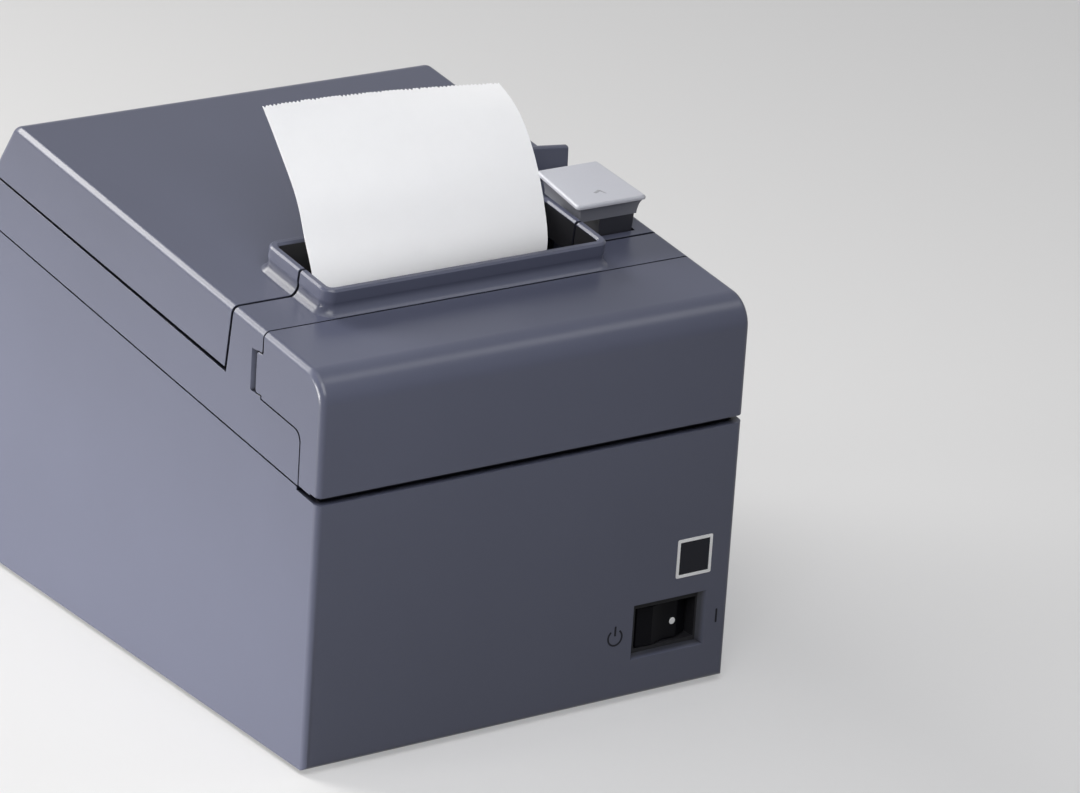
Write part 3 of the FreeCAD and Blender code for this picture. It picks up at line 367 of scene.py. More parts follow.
def recess_mask():
    """Painted shade mask: grows from nought at the front face to one deep in the recess of the switch."""
    tree, _, end = group("recess_mask", {}, ("Mask",))
    place = add(tree, "SeparateXYZ", Vector=add(tree, "TexCoord").outputs["Object"])
    middle_x, half_x, middle_z, half_z, depth = (size * MM for size in RECESS)
    face = FRONT * MM
    deep = add(tree, "MapRange", Value=place.outputs["Y"], From_Min=face + 0.05 * depth,
               From_Max=face + 0.6 * depth)
    tests = [compared(tree, "COMPARE", place.outputs["X"], middle_x, half_x),
             compared(tree, "COMPARE", place.outputs["Z"], middle_z, half_z),
             compared(tree, "COMPARE", place.outputs["Y"], face + depth, depth)]
    tree.links.new(all_of(tree, [deep.outputs["Result"]] + tests), end.inputs["Mask"])
    return tree


def crevice_mask():
    """Painted shade: one deep in the seams and nought on open faces, by how much of the sky close by is
    hidden.
    """
    tree, _, end = group("crevice_mask", {}, ("Mask",))
    hidden = add(tree, "AmbientOcclusion", {"samples": 8}, Distance=SEAM_SHADE_REACH * MM)
    depth = add(tree, "MapRange", Value=hidden.outputs["AO"], From_Min=SKY_CLEAR, From_Max=SKY_SHUT)
    tree.links.new(depth.outputs["Result"], end.inputs["Mask"])
    return tree


def overlay(finish_name, mask, colour_over):
    """Lays another colour over a finish where a mask group says so."""
    tree = look(finish_name).node_tree
    source = tree.nodes.new("ShaderNodeGroup")
    source.node_tree = mask
    base = tree.nodes["Principled BSDF"].inputs["Base Color"]
    tone = add(tree, "MixRGB", Fac=source.outputs["Mask"], Color1=base.links[0].from_socket,
               Color2=tint(colour_over, 1.0))
    tree.links.new(tone.outputs["Color"], base)


def finish(name, effect, base, spread, rough, depth, values=None, metallic=0.0, ior=1.5):
    """Material whose colour and roughness follow a group's Tone and whose bump follows its Height."""
    label = name + "_finish"
    if label in bpy.data.materials:
        return bpy.data.materials[label]
    material = bpy.data.materials.new(label)
    material.use_nodes = True
    tree = material.node_tree
    shader = tree.nodes["Principled BSDF"]
    shader.inputs["Metallic"].default_value = metallic
    shader.inputs["IOR"].default_value = ior
    if effect not in bpy.data.node_groups:
        EFFECTS[effect]()
    source = tree.nodes.new("ShaderNodeGroup")
    source.node_tree = bpy.data.node_groups[effect]
    for key, value in (values or {}).items():
        source.inputs[key].default_value = value
    ramp = add(tree, "ValToRGB", Fac=source.outputs["Tone"])
    low, high = ramp.color_ramp.elements
    low.position, high.position = TONE_LOW, TONE_HIGH
    low.color, high.color = tint(base, 1.0 - spread), tint(base, 1.0 + spread)
    tree.links.new(ramp.outputs["Color"], shader.inputs["Base Color"])
    gloss = add(tree, "MapRange", Value=source.outputs["Tone"], From_Min=TONE_LOW, From_Max=TONE_HIGH,
                To_Min=rough[0], To_Max=rough[1])
    tree.links.new(gloss.outputs["Result"], shader.inputs["Roughness"])
    bump = add(tree, "Bump", Height=source.outputs["Height"], Strength=BUMP_STRENGTH, Distance=depth)
    tree.links.new(bump.outputs["Normal"], shader.inputs["Normal"])
    return material


EFFECTS = {"moulded_grain": moulded_grain, "brushed_lines": brushed_lines, "paper_fibres": paper_fibres}


def look(name):
    """The finish with that name, in the colours of the sidebar."""
    tones = bpy.context.scene.printer_finishes
    grain, lines, fibres = "moulded_grain", "brushed_lines", "paper_fibres"
    # Each recipe: effect, colour, spread of tone, roughness where the Tone is low and high, depth of the
    # bumps in metres, values of the effect, metallic and IOR.
    recipes = {
        "case_plastic": (grain, tones.case, 0.04, (0.30, 0.28), 0.000008, None, 0.0, 1.45),
        "lever_plastic": (grain, tones.lever, 0.03, (0.42, 0.36), 0.00002, None, 0.0, 1.4),
        "inner_plastic": (grain, tones.inner, 0.15, (0.55, 0.42), 0.00003, None, 0.0, 1.25),
        "switch_plastic": (grain, tones.switch, 0.10, (0.34, 0.28), 0.00001, {"Scale": 900.0}, 0.0, 1.12),
        "gear_plastic": (grain, tones.nylon, 0.05, (0.50, 0.40), 0.00001),
        "board": (grain, (0.020, 0.140, 0.060), 0.25, (0.40, 0.30), 0.00001, {"Scale": 260.0}),
        "chip": (grain, (0.014, 0.014, 0.016), 0.2, (0.50, 0.40), 0.00001),
        "steel": (lines, (0.56, 0.57, 0.59), 0.12, (0.42, 0.28), 0.00001, None, 1.0),
        "zinc_sheet": (lines, (0.62, 0.63, 0.65), 0.10, (0.48, 0.36), 0.00001, {"Scale": 300.0}, 1.0),
        "aluminium": (lines, (0.76, 0.77, 0.79), 0.08, (0.40, 0.30), 0.00001, {"Stretch": 0.01}, 1.0),
        "ceramic": (grain, (0.50, 0.43, 0.31), 0.06, (0.22, 0.16), 0.00001, {"Scale": 300.0}),
        "rubber": (grain, (0.018, 0.018, 0.019), 0.2, (0.75, 0.62), 0.00003, {"Scale": 1100.0}),
        "paper": (fibres, tones.paper, 0.02, (0.62, 0.52), 0.00001),
        "core_card": (fibres, (0.42, 0.33, 0.22), 0.18, (0.85, 0.75), 0.00005, {"Scale": 700.0}),
        "dark_print": (grain, tones.ink, 0.1, (0.55, 0.45), 0.00001, None, 0.0, 1.2),
        "white_print": (grain, tones.white, 0.02, (0.50, 0.40), 0.00001),
        "grey_print": (grain, tones.mark, 0.05, (0.50, 0.40), 0.00001),
    }
    return finish(name, *recipes[name])


# Meshes


def show(name, mesh, body, finish_name, nodes=(), sharp=40.0):
    """Puts a mesh in the scene as a piece that rides on a body and may stand for CAD nodes."""
    mesh.polygons.foreach_set("use_smooth", np.ones(len(mesh.polygons), bool))
    mesh.set_sharp_from_angle(angle=math.radians(sharp))
    piece = bpy.data.objects.new(name, mesh)
    bpy.context.collection.objects.link(piece)
    mesh.materials.clear()
    mesh.materials.append(look(finish_name))
    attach(piece, body)
    if nodes:
        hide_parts(*nodes)
    return piece


def welded(mesh, distance=2e-7):
    """Joins doubled points and closes the poles of a mesh."""
    bm = bmesh.new()
    bm.from_mesh(mesh)
    bmesh.ops.remove_doubles(bm, verts=bm.verts, dist=distance)
    bmesh.ops.dissolve_degenerate(bm, edges=bm.edges, dist=distance)
    bmesh.ops.recalc_face_normals(bm, faces=bm.faces)
    bm.to_mesh(mesh)
    bm.free()
    return mesh


def solid(name, points, faces):
    """Mesh from an array of points in millimetres and an array of faces."""
    mesh = bpy.data.meshes.new(name)
    mesh.from_pydata((np.asarray(points, float).reshape(-1, 3) * MM).tolist(), [], np.asarray(faces).tolist())
    return welded(mesh)


def grid_faces(rows, columns, closed):
    """Quads of a grid of points; closed joins the last column to the first."""
    r = np.arange(rows - 1)[:, None]
    c = np.arange(columns if closed else columns - 1)[None, :]
    d = (c + 1) % columns
    quads = np.stack([r * columns + c, r * columns + d, (r + 1) * columns + d, (r + 1) * columns + c], -1)
    return quads.reshape(-1, 4)


def turned(profile, count):
    """Points of a profile of radius and height turned about Z, as rows of rings."""
    radius, height = np.asarray(profile, float).T
    angle = np.linspace(0, 2 * np.pi, count, endpoint=False)
    x = radius[:, None] * np.cos(angle)
    y = radius[:, None] * np.sin(angle)
    z = np.broadcast_to(height[:, None], x.shape)
    return np.stack([x, y, z], -1)


def plate_on_front(name, outline, proud, hole=None):
    """Flat raised shape on the front face: outline of x and z, carried straight out from the face."""
    outer = np.asarray(outline, float)
    count = len(outer)
    inner = outer if hole is None else np.asarray(hole, float)
    sunk, out = FRONT + SUNK, FRONT - proud
    rings = [(outer, sunk), (outer, out), (inner, out), (inner, sunk)]
    if hole is None:
        middle = np.broadcast_to(outer.mean(0), outer.shape)
        rings = [(middle, sunk), (outer, sunk), (outer, out), (middle, out)]
    points = np.stack([np.stack([p[:, 0], np.full(count, y), p[:, 1]], -1) for p, y in rings])
    faces = grid_faces(len(rings), count, True)
    if hole is not None:
        around = np.arange(count)
        ahead = (around + 1) % count
        last = 3 * count
        faces = np.concatenate([faces, np.stack([last + around, last + ahead, ahead, around], -1)])
    return solid(name, points, faces)


def rounded_box(x0, x1, z0, z1, radius, steps=5):
    """Corner points of a rectangle with rounded corners."""
    angle = np.linspace(0, np.pi / 2, steps)
    centres = np.array([(x1 - radius, z1 - radius), (x0 + radius, z1 - radius),
                        (x0 + radius, z0 + radius), (x1 - radius, z0 + radius)])
    turns = angle[None, :] + np.arange(4)[:, None] * np.pi / 2
    arcs = np.stack([np.cos(turns), np.sin(turns)], -1) * radius
    return (centres[:, None, :] + arcs).reshape(-1, 2)


def moulding(node, finish_name, edge, sharp=38.0):
    """Copy of a CAD moulding with joined faces and softly rounded edges, which stands for the node."""
    mesh = frame["nodes"][node].data.copy()
    mesh.name = node + "_moulding"
    bm = bmesh.new()
    bm.from_mesh(mesh)
    bmesh.ops.remove_doubles(bm, verts=bm.verts, dist=2e-6)
    bmesh.ops.dissolve_limit(bm, angle_limit=math.radians(0.3), verts=bm.verts, edges=bm.edges)
    bm.to_mesh(mesh)
    bm.free()
    body = body_of(frame["nodes"][node])[0]
    piece = show(node + "_moulding", mesh, body, finish_name, (node,), sharp)
    if edge > 0:
        bevel = piece.modifiers.new("edge", "BEVEL")
        bevel.width = edge
        bevel.segments = 2
        bevel.limit_method = "ANGLE"
        bevel.angle_limit = math.radians(sharp)
        bevel.use_clamp_overlap = True
    weighted = piece.modifiers.new("normals", "WEIGHTED_NORMAL")
    weighted.mode = "FACE_AREA"
    weighted.weight = 100
    weighted.keep_sharp = True
    return piece


def dress(finish_name, *nodes):
    """Gives CAD nodes whose shape is right a finish of their own."""
    for node in nodes:
        slots = frame["nodes"][node].data.materials
        slots.clear()
        slots.append(look(finish_name))


def spline(knots):
    """Natural cubic through the knots, with chord lengths as its parameter, and its run of arc length."""
    knots = np.asarray(knots, float)
    t = np.concatenate([[0.0], np.cumsum(np.linalg.norm(np.diff(knots, axis=0), axis=1))])
    h = np.diff(t)
    size = len(t)
    matrix = np.eye(size)
    right = np.zeros_like(knots)
    inside = np.arange(1, size - 1)
    matrix[inside, inside - 1] = h[:-1]
    matrix[inside, inside] = 2 * (h[:-1] + h[1:])
    matrix[inside, inside + 1] = h[1:]
    slope = np.diff(knots, axis=0) / h[:, None]
    right[inside] = 6 * np.diff(slope, axis=0)
    bend = np.linalg.solve(matrix, right)

    def at(u):
        i = np.clip(np.searchsorted(t, u) - 1, 0, size - 2)
        a, b = (t[i + 1] - u)[..., None], (u - t[i])[..., None]
        w = h[i][..., None]
        return (bend[i] * a ** 3 + bend[i + 1] * b ** 3) / (6 * w) \
            + (knots[i] / w - bend[i] * w / 6) * a + (knots[i + 1] / w - bend[i + 1] * w / 6) * b

    fine = np.linspace(0, t[-1], 600)
    run = np.concatenate([[0.0], np.cumsum(np.linalg.norm(np.diff(at(fine), axis=0), axis=1))])
    return at, fine, run


# Operators


class PRINTER_OT_case(bpy.types.Operator):
    """Lower case, upper case, front cover and paper cover, with soft moulded edges"""
    bl_idname = "receipt_printer.case"
    bl_label = "Case mouldings"

    def execute(self, context):
        edge = context.scene.printer_sizes.edge
        for node in ("lower_case", "upper_case", "cutter_cover", "roll_cover"):
            moulding(node, "case_plastic", edge)
        tones = context.scene.printer_finishes
        # Painted shade: the case's walls inside the paper exit take the black of the inner mouldings
        overlay("case_plastic", exit_mask(), tones.inner)
        # Painted shade: the walls of the switch's recess darken the deeper they lie
        overlay("case_plastic", recess_mask(), tones.recess_shade)
        # Painted shade: the seams and hollows of the case darken to near black where nearby faces hide the
        # sky
        overlay("case_plastic", crevice_mask(), tones.seam_shade)
        return {"FINISHED"}


class PRINTER_OT_lever(bpy.types.Operator):
    """Light grey cover lever with a small arrow on its top"""
    bl_idname = "receipt_printer.lever"
    bl_label = "Cover lever"

    def execute(self, context):
        sizes = context.scene.printer_sizes
        tones = context.scene.printer_finishes
        moulding("cover_lever", "lever_plastic", sizes.lever_edge, 30.0)
        # Painted shade: below the cap the lever darkens to the neck's grey, and lower down to the stem's near
        # black
        overlay("lever_plastic", under_mask("lever_neck", CAP_FOOT), tones.neck_shade)
        overlay("lever_plastic", under_mask("lever_stem", NECK_FOOT), tones.stem_dark_and_shade)
        # Arrow: a bent bar of constant width, laid on the top plate.
        ridge = np.array(ARROW)
        side = np.array([-ARROW_HALF, ARROW_HALF])
        arrow = np.concatenate([ridge + side, ridge[::-1] - side])
        low, high = LEVER_TOP - SUNK, LEVER_TOP + sizes.print_height / MM
        layers = [np.column_stack([arrow[:, 0], *deck_point(arrow[:, 1], n)]) for n in (low, high)]
        count = len(arrow)
        sides = grid_faces(2, count, True).tolist()
        top = [[6, 7, 10, 11], [7, 8, 9, 10]]
        base = [[5, 4, 1, 0], [4, 3, 2, 1]]
        mesh = solid("lever_arrow", np.stack(layers), sides + top + base)
        show("lever_arrow", mesh, "lever", "grey_print")
        return {"FINISHED"}


class PRINTER_OT_switch(bpy.types.Operator):
    """Two-way power switch with a white dot"""
    bl_idname = "receipt_printer.switch"
    bl_label = "Power switch"

    def execute(self, context):
        moulding("switch_rocker", "switch_plastic", TRAY_EDGE, 25.0)
        moulding("switch_housing", "inner_plastic", SOCKET_EDGE)
        # Dot: a low dome turned about the normal of the rocker's face.
        profile = [(0.0, -SUNK), (1.05, -SUNK), (1.05, 0.04), (0.85, 0.09), (0.0, 0.11)]
        count = 32
        points = turned(profile, count).reshape(-1, 3)
        turn = ROCKER_TILT + math.atan2(ROCKER_RISE, ROCKER_RUN)
        axis_x = np.array([math.cos(turn), math.sin(turn), 0.0])
        normal = np.array([math.sin(turn), -math.cos(turn), 0.0])
        up = np.array([0.0, 0.0, 1.0])
        local = np.array([DOT_ALONG, ROCKER_FACE + ROCKER_RISE * DOT_ALONG / ROCKER_RUN, DOT_DROP])
        c, s = math.cos(ROCKER_TILT), math.sin(ROCKER_TILT)
        spin = np.array([[c, -s, 0], [s, c, 0], [0, 0, 1]])
        centre = spin @ local + np.array(PIVOT)
        placed = centre + points[:, :1] * axis_x + points[:, 1:2] * up + points[:, 2:] * normal
        mesh = solid("switch_dot", placed, grid_faces(len(profile), count, True))
        show("switch_dot", mesh, "rocker", "white_print")
        return {"FINISHED"}


class PRINTER_OT_front_marks(bpy.types.Operator):
    """Power sign, on bar and the bare plate on the front"""
    bl_idname = "receipt_printer.front_marks"
    bl_label = "Front marks"

    def execute(self, context):
        proud = context.scene.printer_sizes.print_height / MM
        # Power sign: an open ring swept from just right of the top round to just left of it, and a bar.
        x, z = SIGN_X, SIGN_Z
        angle = np.linspace(math.radians(128), math.radians(412), 41)
        ring = np.stack([np.cos(angle), np.sin(angle)], -1)
        band = np.concatenate([ring * SIGN_OUTER, ring[::-1] * SIGN_INNER]) + (x, z)
        count = len(angle)
        points = np.stack([np.column_stack([band[:, 0], np.full(2 * count, y), band[:, 1]])
                           for y in (FRONT + SUNK, FRONT - proud)])
        faces = grid_faces(2, 2 * count, True).tolist()
        i = np.arange(count - 1)
        caps = np.stack([i, i + 1, 2 * count - 2 - i, 2 * count - 1 - i], -1)
        faces += caps.tolist() + (caps + 2 * count)[:, ::-1].tolist()
        show("power_sign_ring", solid("power_sign_ring", points, faces), "base", "dark_print")
        bar = rounded_box(x - 0.3, x + 0.3, z + 0.5, z + 3.6, 0.2, 3)
        mesh = plate_on_front("power_sign_bar", bar, proud)
        show("power_sign_bar", mesh, "base", "dark_print")
        bar = rounded_box(*ON_BAR, z - 2.2, z + 2.2, 0.2, 3)
        show("on_bar", plate_on_front("on_bar", bar, proud), "base", "dark_print")
        # Bare plate: a dark field inside a pale border.
        outer = rounded_box(*PLATE, 0.5)
        x0, x1, z0, z1 = PLATE
        hole = rounded_box(x0 + PLATE_BORDER, x1 - PLATE_BORDER, z0 + PLATE_BORDER, z1 - PLATE_BORDER, 0.15)
        border = plate_on_front("plate_border", outer, 0.12, hole)
        show("plate_border", border, "base", "white_print")
        field = plate_on_front("plate_field", hole, 0.08)
        show("plate_field", field, "base", "dark_print")
        return {"FINISHED"}


class PRINTER_OT_receipt(bpy.types.Operator):
    """Strip of paper that leaves the exit, curls back and ends in a torn edge"""
    bl_idname = "receipt_printer.receipt"
    bl_label = "Receipt strip"

    def execute(self, context):
        sizes = context.scene.printer_sizes
        thick, tooth, tear, bow = (size / MM for size in (sizes.strip, sizes.tooth, sizes.tear, sizes.bow))
        start = [deck_point(STRIP_S, n) for n in STRIP_ROOTS]
        edges = [spline(start + [(FRONT + away, DECK_FRONT + up) for away, up in curl])
                 for curl in (CURL_LEFT, CURL_RIGHT)]
        # Torn edge: one point on each tooth and one between, each cut back by its own share of the tear.
        width = STRIP_RIGHT - STRIP_LEFT
        rows = 56
        columns = 2 * int(width / tooth) + 1
        rng = np.random.default_rng(7)
        ragged = tear * (0.35 + 0.65 * rng.random(columns))
        cut = np.where(np.arange(columns) % 2 == 0, 0.15 * ragged, ragged)
        along = np.linspace(0, 1, rows)[:, None] ** 0.9
        across = np.linspace(0, 1, columns)[None, :]
        # Each point lies straight across from a point of the left edge to the same share of the right edge.
        centre = 0.0
        for (at, fine, run), weight in zip(edges, (1 - across, across)):
            reach = along * (run[-1] - 0.15 - cut)[None, :]
            centre = centre + at(np.interp(reach, run, fine)) * weight[..., None]
        ahead = np.gradient(centre, axis=0)
        ahead /= np.linalg.norm(ahead, axis=-1, keepdims=True)
        # Bow: the tear runs further out in the middle of the strip than at its corners.
        centre = centre + ahead * (bow * 4 * across * (1 - across) * along ** 3)[..., None]
        normal = np.stack([-ahead[..., 1], ahead[..., 0]], -1)
        x = STRIP_LEFT + width * across + np.zeros((rows, 1))
        layers = []
        for side in (0.5, -0.5):
            p = centre + normal * thick * side
            layers.append(np.stack([x, p[..., 0], p[..., 1]], -1))
        loop = np.concatenate([layers[0], layers[1][:, ::-1]], 1)
        total = 2 * columns
        faces = grid_faces(rows, total, True)
        i = np.arange(columns - 1)
        cap = np.stack([i, i + 1, total - 2 - i, total - 1 - i], -1)
        faces = np.concatenate([faces, cap[:, ::-1], cap + (rows - 1) * total])
        mesh = solid("receipt_strip", loop, faces)
        strip = show("receipt_strip", mesh, "cover", "paper", ("receipt",), 60.0)
        return {"FINISHED"}


class PRINTER_OT_roll(bpy.types.Operator):
    """Paper roll with the turns showing at its ends, its core and the web up to the blade"""
    bl_idname = "receipt_printer.roll"
    bl_label = "Paper roll"

    def execute(self, context):
        low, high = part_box("paper_roll")
        y = (low.y + high.y) / 2 / MM
        z = (low.z + high.z) / 2 / MM
        radius = (high.z - low.z) / 2 / MM
        x0, x1 = low.x / MM, high.x / MM
        # Turns: rings whose ends step in and out a little, swept once round while the radius falls.
        steps = 46
        rng = np.random.default_rng(11)
        r = np.linspace(BORE, radius - 0.02, steps)
        sway = np.cumsum(rng.normal(0, 0.05, steps))
        sway = 0.16 + 0.1 * np.sin(r * 0.9) + 0.05 * (sway - sway.min()) / np.ptp(sway)
        ridge = np.where(np.arange(steps) % 2 == 0, 0.0, 0.07)
        inset = np.clip(sway + ridge, 0.02, 0.4)
        inset[0] = inset[-1] = 0.25
        profile = np.concatenate([np.column_stack([r, x0 + inset]),
                                  np.column_stack([r[::-1], x1 - inset[::-1]])])
        count = 120
        angle = np.linspace(0, 2 * np.pi, count, endpoint=False)
        fall = TURN_FALL * (angle / (2 * np.pi))[None, :] * (profile[:, :1] - BORE) / (radius - BORE)
        ring = profile[:, :1] - fall
        points = np.stack([np.broadcast_to(profile[:, 1:], ring.shape), y - ring * np.cos(angle),
                           z + ring * np.sin(angle)], -1)
        rows = len(profile)
        faces = grid_faces(rows, count, True)
        around = np.arange(count)
        bore = np.stack([(rows - 1) * count + around, (rows - 1) * count + (around + 1) % count,
                         (around + 1) % count, around], -1)
        mesh = solid("wound_roll", points, np.concatenate([faces, bore]))
        show("wound_roll", mesh, "roll", "paper", ("paper_roll",), 50.0)
        moulding("roll_core", "core_card", CORE_EDGE)
        self.web(context)
        return {"FINISHED"}

    def web(self, context):
        """Flat web of paper that runs straight from the roll to the blade, in the plane of the print head."""
        thick = context.scene.printer_sizes.strip / MM
        low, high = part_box("paper_web")
        root = DECK_FRONT + STRIP_S * math.sin(DECK_TILT)
        ends = [(edge.z / MM - root) / math.cos(DECK_TILT) for edge in (low, high)]
        steps, columns = 24, 9
        n = np.linspace(ends[0] + 0.1, ends[1] - 0.1, steps)
        rows = []
        for side in (-0.5, 0.5):
            y, z = deck_point(STRIP_S + side * thick, n)
            rows.append(np.stack([y, z], -1))
        section = np.concatenate([rows[0], rows[1][::-1]])
        x = np.linspace(STRIP_LEFT, STRIP_RIGHT, columns)
        around = len(section)
        points = np.concatenate([np.broadcast_to(x[:, None, None], (columns, around, 1)),
                                 np.broadcast_to(section[None], (columns, around, 2))], -1)
        faces = grid_faces(columns, around, True)
        i = np.arange(steps - 1)
        cap = np.stack([i, i + 1, around - 2 - i, around - 1 - i], -1)
        faces = np.concatenate([faces, cap[:, ::-1], cap + (columns - 1) * around])
        mesh = solid("paper_web_sheet", points, faces)
        sheet = show("paper_web_sheet", mesh, "base", "paper", ("paper_web",), 60.0)


class PRINTER_OT_mechanism(bpy.types.Operator):
    """Finishes of the print mechanism, the cutter, the bay and the electronics"""
    bl_idname = "receipt_printer.mechanism"
    bl_label = "Mechanism"

    def execute(self, context):
        for node in ("roll_bucket", "platen_holder"):
            moulding(node, "inner_plastic", TRAY_EDGE)
        for node in ("power_inlet", "drawer_socket", "usb_socket"):
            moulding(node, "inner_plastic", SOCKET_EDGE)
        for node in ("connector_panel", "mech_frame", "bottom_plate"):
            moulding(node, "zinc_sheet", SHEET_EDGE)
        dress("inner_plastic", "platen_bushes")
        dress("gear_plastic", "platen_gear", "idler_gear", "motor_pinion", "cutter_pinion")
        dress("steel", "hinge_pins", "lever_pin", "platen_shaft", "idler_stud", "fixed_blade", "moving_blade",
              "cutter_shaft", "head_springs")
        dress("zinc_sheet", "feed_motor", "cutter_motor", "head_bracket", "cutter_guide")
        dress("aluminium", "head_heatsink")
        dress("ceramic", "head_ceramic")
        dress("rubber", "platen_rubber")
        dress("board", "main_board")
        dress("chip", "board_parts")
        return {"FINISHED"}


class PRINTER_OT_underside(bpy.types.Operator):
    """Rubber feet and the screws of the bottom plate"""
    bl_idname = "receipt_printer.underside"
    bl_label = "Underside"

    def execute(self, context):
        # Foot: a disc with rounded edges and a shallow dish, turned about Z.
        bend = np.linspace(0, np.pi / 2, 5)
        edge = np.column_stack([6.1 + 0.5 * np.sin(bend), 0.5 - 0.5 * np.cos(bend)])
        profile = np.concatenate([[(0.0, 0.25), (3.6, 0.25), (4.3, 0.0)], edge, [(6.9, FOOT), (0.0, FOOT)]])
        count = 48
        foot = turned(profile, count)
        places = np.array([(x, y) for x in (-FEET_X, FEET_X) for y in (-FEET_Y, FEET_Y)])
        self.copies("rubber_feet_pads", foot, places, "foot_rubber", "rubber", "rubber_feet")
        # Screw: pan head with a cross recess whose four arms are cut between fixed angles.
        low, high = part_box("bottom_screws")
        z0, z1 = low.z / MM, high.z / MM
        head = [(0.0, z0 + 0.02), (0.6, z0 + 0.01), (0.75, z0), (1.5, z0), (1.7, z0), (2.3, z0 + 0.06),
                (2.6, z0 + 0.3), (2.6, z0 + 0.8), (1.3, z0 + 0.8), (1.3, z1), (0.0, z1)]
        screw = turned(head, count)
        angle = np.linspace(0, 360, count, endpoint=False)
        arm = np.minimum(angle % 90, 90 - angle % 90) < 16
        screw[0, :, 2] += 0.5
        screw[1, :, 2] += 0.45
        screw[2:4, :, 2] += np.where(arm, 0.4, 0.0)
        x = HALF - WALL - SCREW_INSET
        ends = (FRONT + SCREW_END, 0.0, -FRONT - SCREW_END)
        places = np.array([(side * x, y) for side in (-1, 1) for y in ends])
        self.copies("bottom_screws_cross", screw, places, "steel", "steel", "bottom_screws")
        return {"FINISHED"}

    def copies(self, name, shape, places, slot, finish_name, node):
        """One mesh that holds the same turned shape at each place."""
        rows, count = shape.shape[:2]
        shift = np.concatenate([places, np.zeros((len(places), 1))], 1)
        points = shape.reshape(1, -1, 3) + shift[:, None, :]
        faces = grid_faces(rows, count, True)[None] + (np.arange(len(places)) * rows * count)[:, None, None]
        mesh = solid(name, points, faces.reshape(-1, 4))
        return show(name, mesh, "base", finish_name, (node,), 35.0)


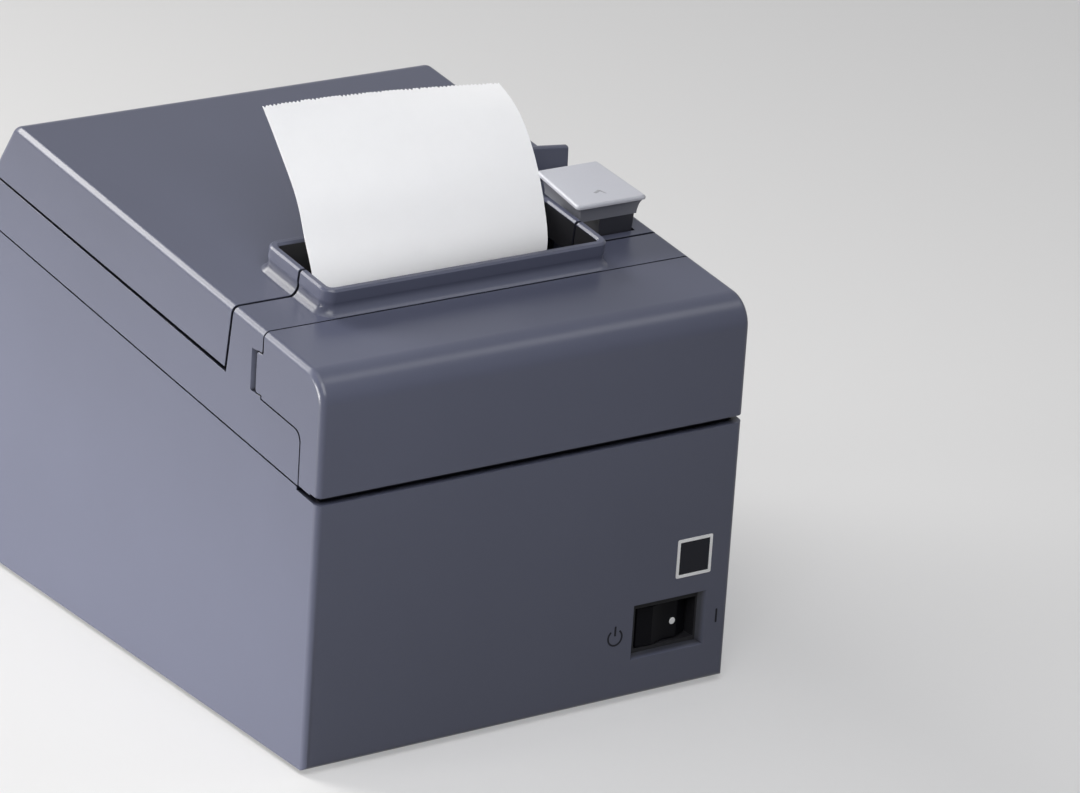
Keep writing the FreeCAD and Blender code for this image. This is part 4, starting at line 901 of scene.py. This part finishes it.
class PRINTER_OT_stage(bpy.types.Operator):
    """Pale floor, soft studio light and the camera at the photograph's angle"""
    bl_idname = "receipt_printer.stage"
    bl_label = "Stage"

    def execute(self, context):
        scene = context.scene
        settings = scene.printer_stage
        scene.view_settings.view_transform = "Standard"
        data = bpy.data.cameras.new("camera")
        data.sensor_fit = "HORIZONTAL"
        data.sensor_width = 36.0
        focal, image_width = 5676.0594, 1080.0
        data.lens = data.sensor_width * focal / image_width
        data.clip_end = 50.0
        camera = bpy.data.objects.new("camera", data)
        right = (0.817106, -0.573186, 0.061600)
        up = (0.158247, 0.325763, 0.932114)
        back = (-0.554342, -0.751888, 0.356888)
        place = (-0.892600, -1.308142, 0.677727)
        camera.matrix_world = self.stood(right, up, back, place)
        scene.collection.objects.link(camera)
        scene.camera = camera
        self.lamp("key", settings.key, (0.5, 0.1), (-0.95, 0.28, 0.05), 0.60, (0.3, 0.95, 0.0),
                  (-HALF * MM, 0.0, 0.02), 40.0, settings.warm)
        self.lamp("rim", settings.rim, (0.9, 0.3), (-0.47, 0.755, 0.58), 1.06, (0.61, 0.0, 0.59),
                  tint_of=settings.warm)
        self.lamp("top", settings.top, (0.9, 0.9), (-0.15, -0.30, 0.94), 1.1)
        self.lamp("brow", settings.brow, (0.5, 0.3), (0.55, -0.33, 0.73), 1.0)
        self.lamp("front", settings.front, (0.2, 0.2), (-0.30, -0.75, 0.60), 0.42)
        self.floor(settings)
        self.surround(scene, settings)
        return {"FINISHED"}

    def stood(self, x, y, z, place):
        """Matrix with these three axes and this place."""
        return Matrix([(x[i], y[i], z[i], place[i]) for i in range(3)] + [(0, 0, 0, 1)])

    def lamp(self, name, watts, size, direction, away, along=(1.0, 0.0, 0.0), aim=(0.0, 0.0, 0.07),
             spread=180.0, tint_of=(1.0, 1.0, 1.0)):
        """Soft light panel that looks at a point, its long side along a direction, its beam in degrees."""
        data = bpy.data.lights.new(name, "AREA")
        data.energy = watts
        data.shape = "RECTANGLE"
        data.size, data.size_y = size
        data.spread = math.radians(spread)
        data.color = tint_of
        lamp = bpy.data.objects.new(name, data)
        z = np.array(direction) / np.linalg.norm(direction)
        x = np.array(along) - z * np.dot(along, z)
        x /= np.linalg.norm(x)
        y = np.cross(z, x)
        lamp.matrix_world = self.stood(x, y, z, z * away + aim)
        bpy.context.collection.objects.link(lamp)

    def seen(self, tree):
        """One for rays from the camera, in reflections and through glass, and nought for bounced light."""
        path = add(tree, "LightPath")
        mirrored = add(tree, "Math", {"operation": "MAXIMUM"})
        tree.links.new(path.outputs["Is Glossy Ray"], mirrored.inputs[0])
        tree.links.new(path.outputs["Is Transmission Ray"], mirrored.inputs[1])
        either = add(tree, "Math", {"operation": "MAXIMUM"})
        tree.links.new(path.outputs["Is Camera Ray"], either.inputs[0])
        tree.links.new(mirrored.outputs[0], either.inputs[1])
        return either.outputs[0]

    def floor(self, settings):
        mesh = bpy.data.meshes.new("floor")
        r = 6.0
        mesh.from_pydata([(-r, -r, 0), (r, -r, 0), (r, r, 0), (-r, r, 0)], [], [(0, 1, 2, 3)])
        floor = bpy.data.objects.new("floor", mesh)
        bpy.context.collection.objects.link(floor)
        material = bpy.data.materials.new("floor")
        material.use_nodes = True
        tree = material.node_tree
        shader = tree.nodes["Principled BSDF"]
        shader.inputs["Roughness"].default_value = 0.7
        seen = self.seen(tree)
        tone = add(tree, "MixRGB", Fac=seen, Color1=tint(settings.floor, settings.bounce),
                   Color2=tint(settings.floor, settings.lit))
        tree.links.new(tone.outputs["Color"], shader.inputs["Base Color"])
        shader.inputs["Emission Color"].default_value = tint(settings.floor, 1.0)
        even = add(tree, "MapRange", Value=seen, To_Min=0.0, To_Max=settings.glow)
        tree.links.new(even.outputs["Result"], shader.inputs["Emission Strength"])
        mesh.materials.append(material)

    def surround(self, scene, settings):
        """World that looks pale to the camera and in reflections, and sheds no light of its own."""
        world = bpy.data.worlds.new("surround")
        world.use_nodes = True
        tree = world.node_tree
        sky = tree.nodes["Background"]
        sky.inputs["Color"].default_value = (0.93, 0.94, 0.96, 1.0)
        strength = add(tree, "MapRange", Value=self.seen(tree), To_Min=0.0, To_Max=settings.sheen)
        tree.links.new(strength.outputs["Result"], sky.inputs["Strength"])
        scene.world = world


class PRINTER_PT_sidebar(bpy.types.Panel):
    """Lists the steps that dress the printer"""
    bl_idname = "PRINTER_PT_sidebar"
    bl_label = "Receipt printer"
    bl_space_type = "VIEW_3D"
    bl_region_type = "UI"
    bl_category = "Receipt printer"

    def draw(self, context):
        for settings in ("printer_finishes", "printer_sizes", "printer_stage"):
            group_of = getattr(context.scene, settings)
            for key in group_of.__annotations__:
                self.layout.prop(group_of, key)
        for operator in OPERATORS:
            self.layout.operator(operator.bl_idname)


SETTINGS = (PrinterFinishes, PrinterSizes, PrinterStage)
OPERATORS = (PRINTER_OT_stage, PRINTER_OT_case, PRINTER_OT_lever, PRINTER_OT_switch, PRINTER_OT_front_marks,
             PRINTER_OT_receipt, PRINTER_OT_roll, PRINTER_OT_mechanism, PRINTER_OT_underside)


def register():
    for item in SETTINGS + OPERATORS + (PRINTER_PT_sidebar,):
        bpy.utils.register_class(item)
    bpy.types.Scene.printer_finishes = bpy.props.PointerProperty(type=PrinterFinishes)
    bpy.types.Scene.printer_sizes = bpy.props.PointerProperty(type=PrinterSizes)
    bpy.types.Scene.printer_stage = bpy.props.PointerProperty(type=PrinterStage)


def unregister():
    del bpy.types.Scene.printer_finishes
    del bpy.types.Scene.printer_sizes
    del bpy.types.Scene.printer_stage
    for item in reversed(SETTINGS + OPERATORS + (PRINTER_PT_sidebar,)):
        bpy.utils.unregister_class(item)


def main():
    register()
    bpy.ops.receipt_printer.stage()
    bpy.ops.receipt_printer.case()
    bpy.ops.receipt_printer.lever()
    bpy.ops.receipt_printer.switch()
    bpy.ops.receipt_printer.front_marks()
    bpy.ops.receipt_printer.receipt()
    bpy.ops.receipt_printer.roll()
    bpy.ops.receipt_printer.mechanism()
    bpy.ops.receipt_printer.underside()


if __name__ == "__main__":
    main()
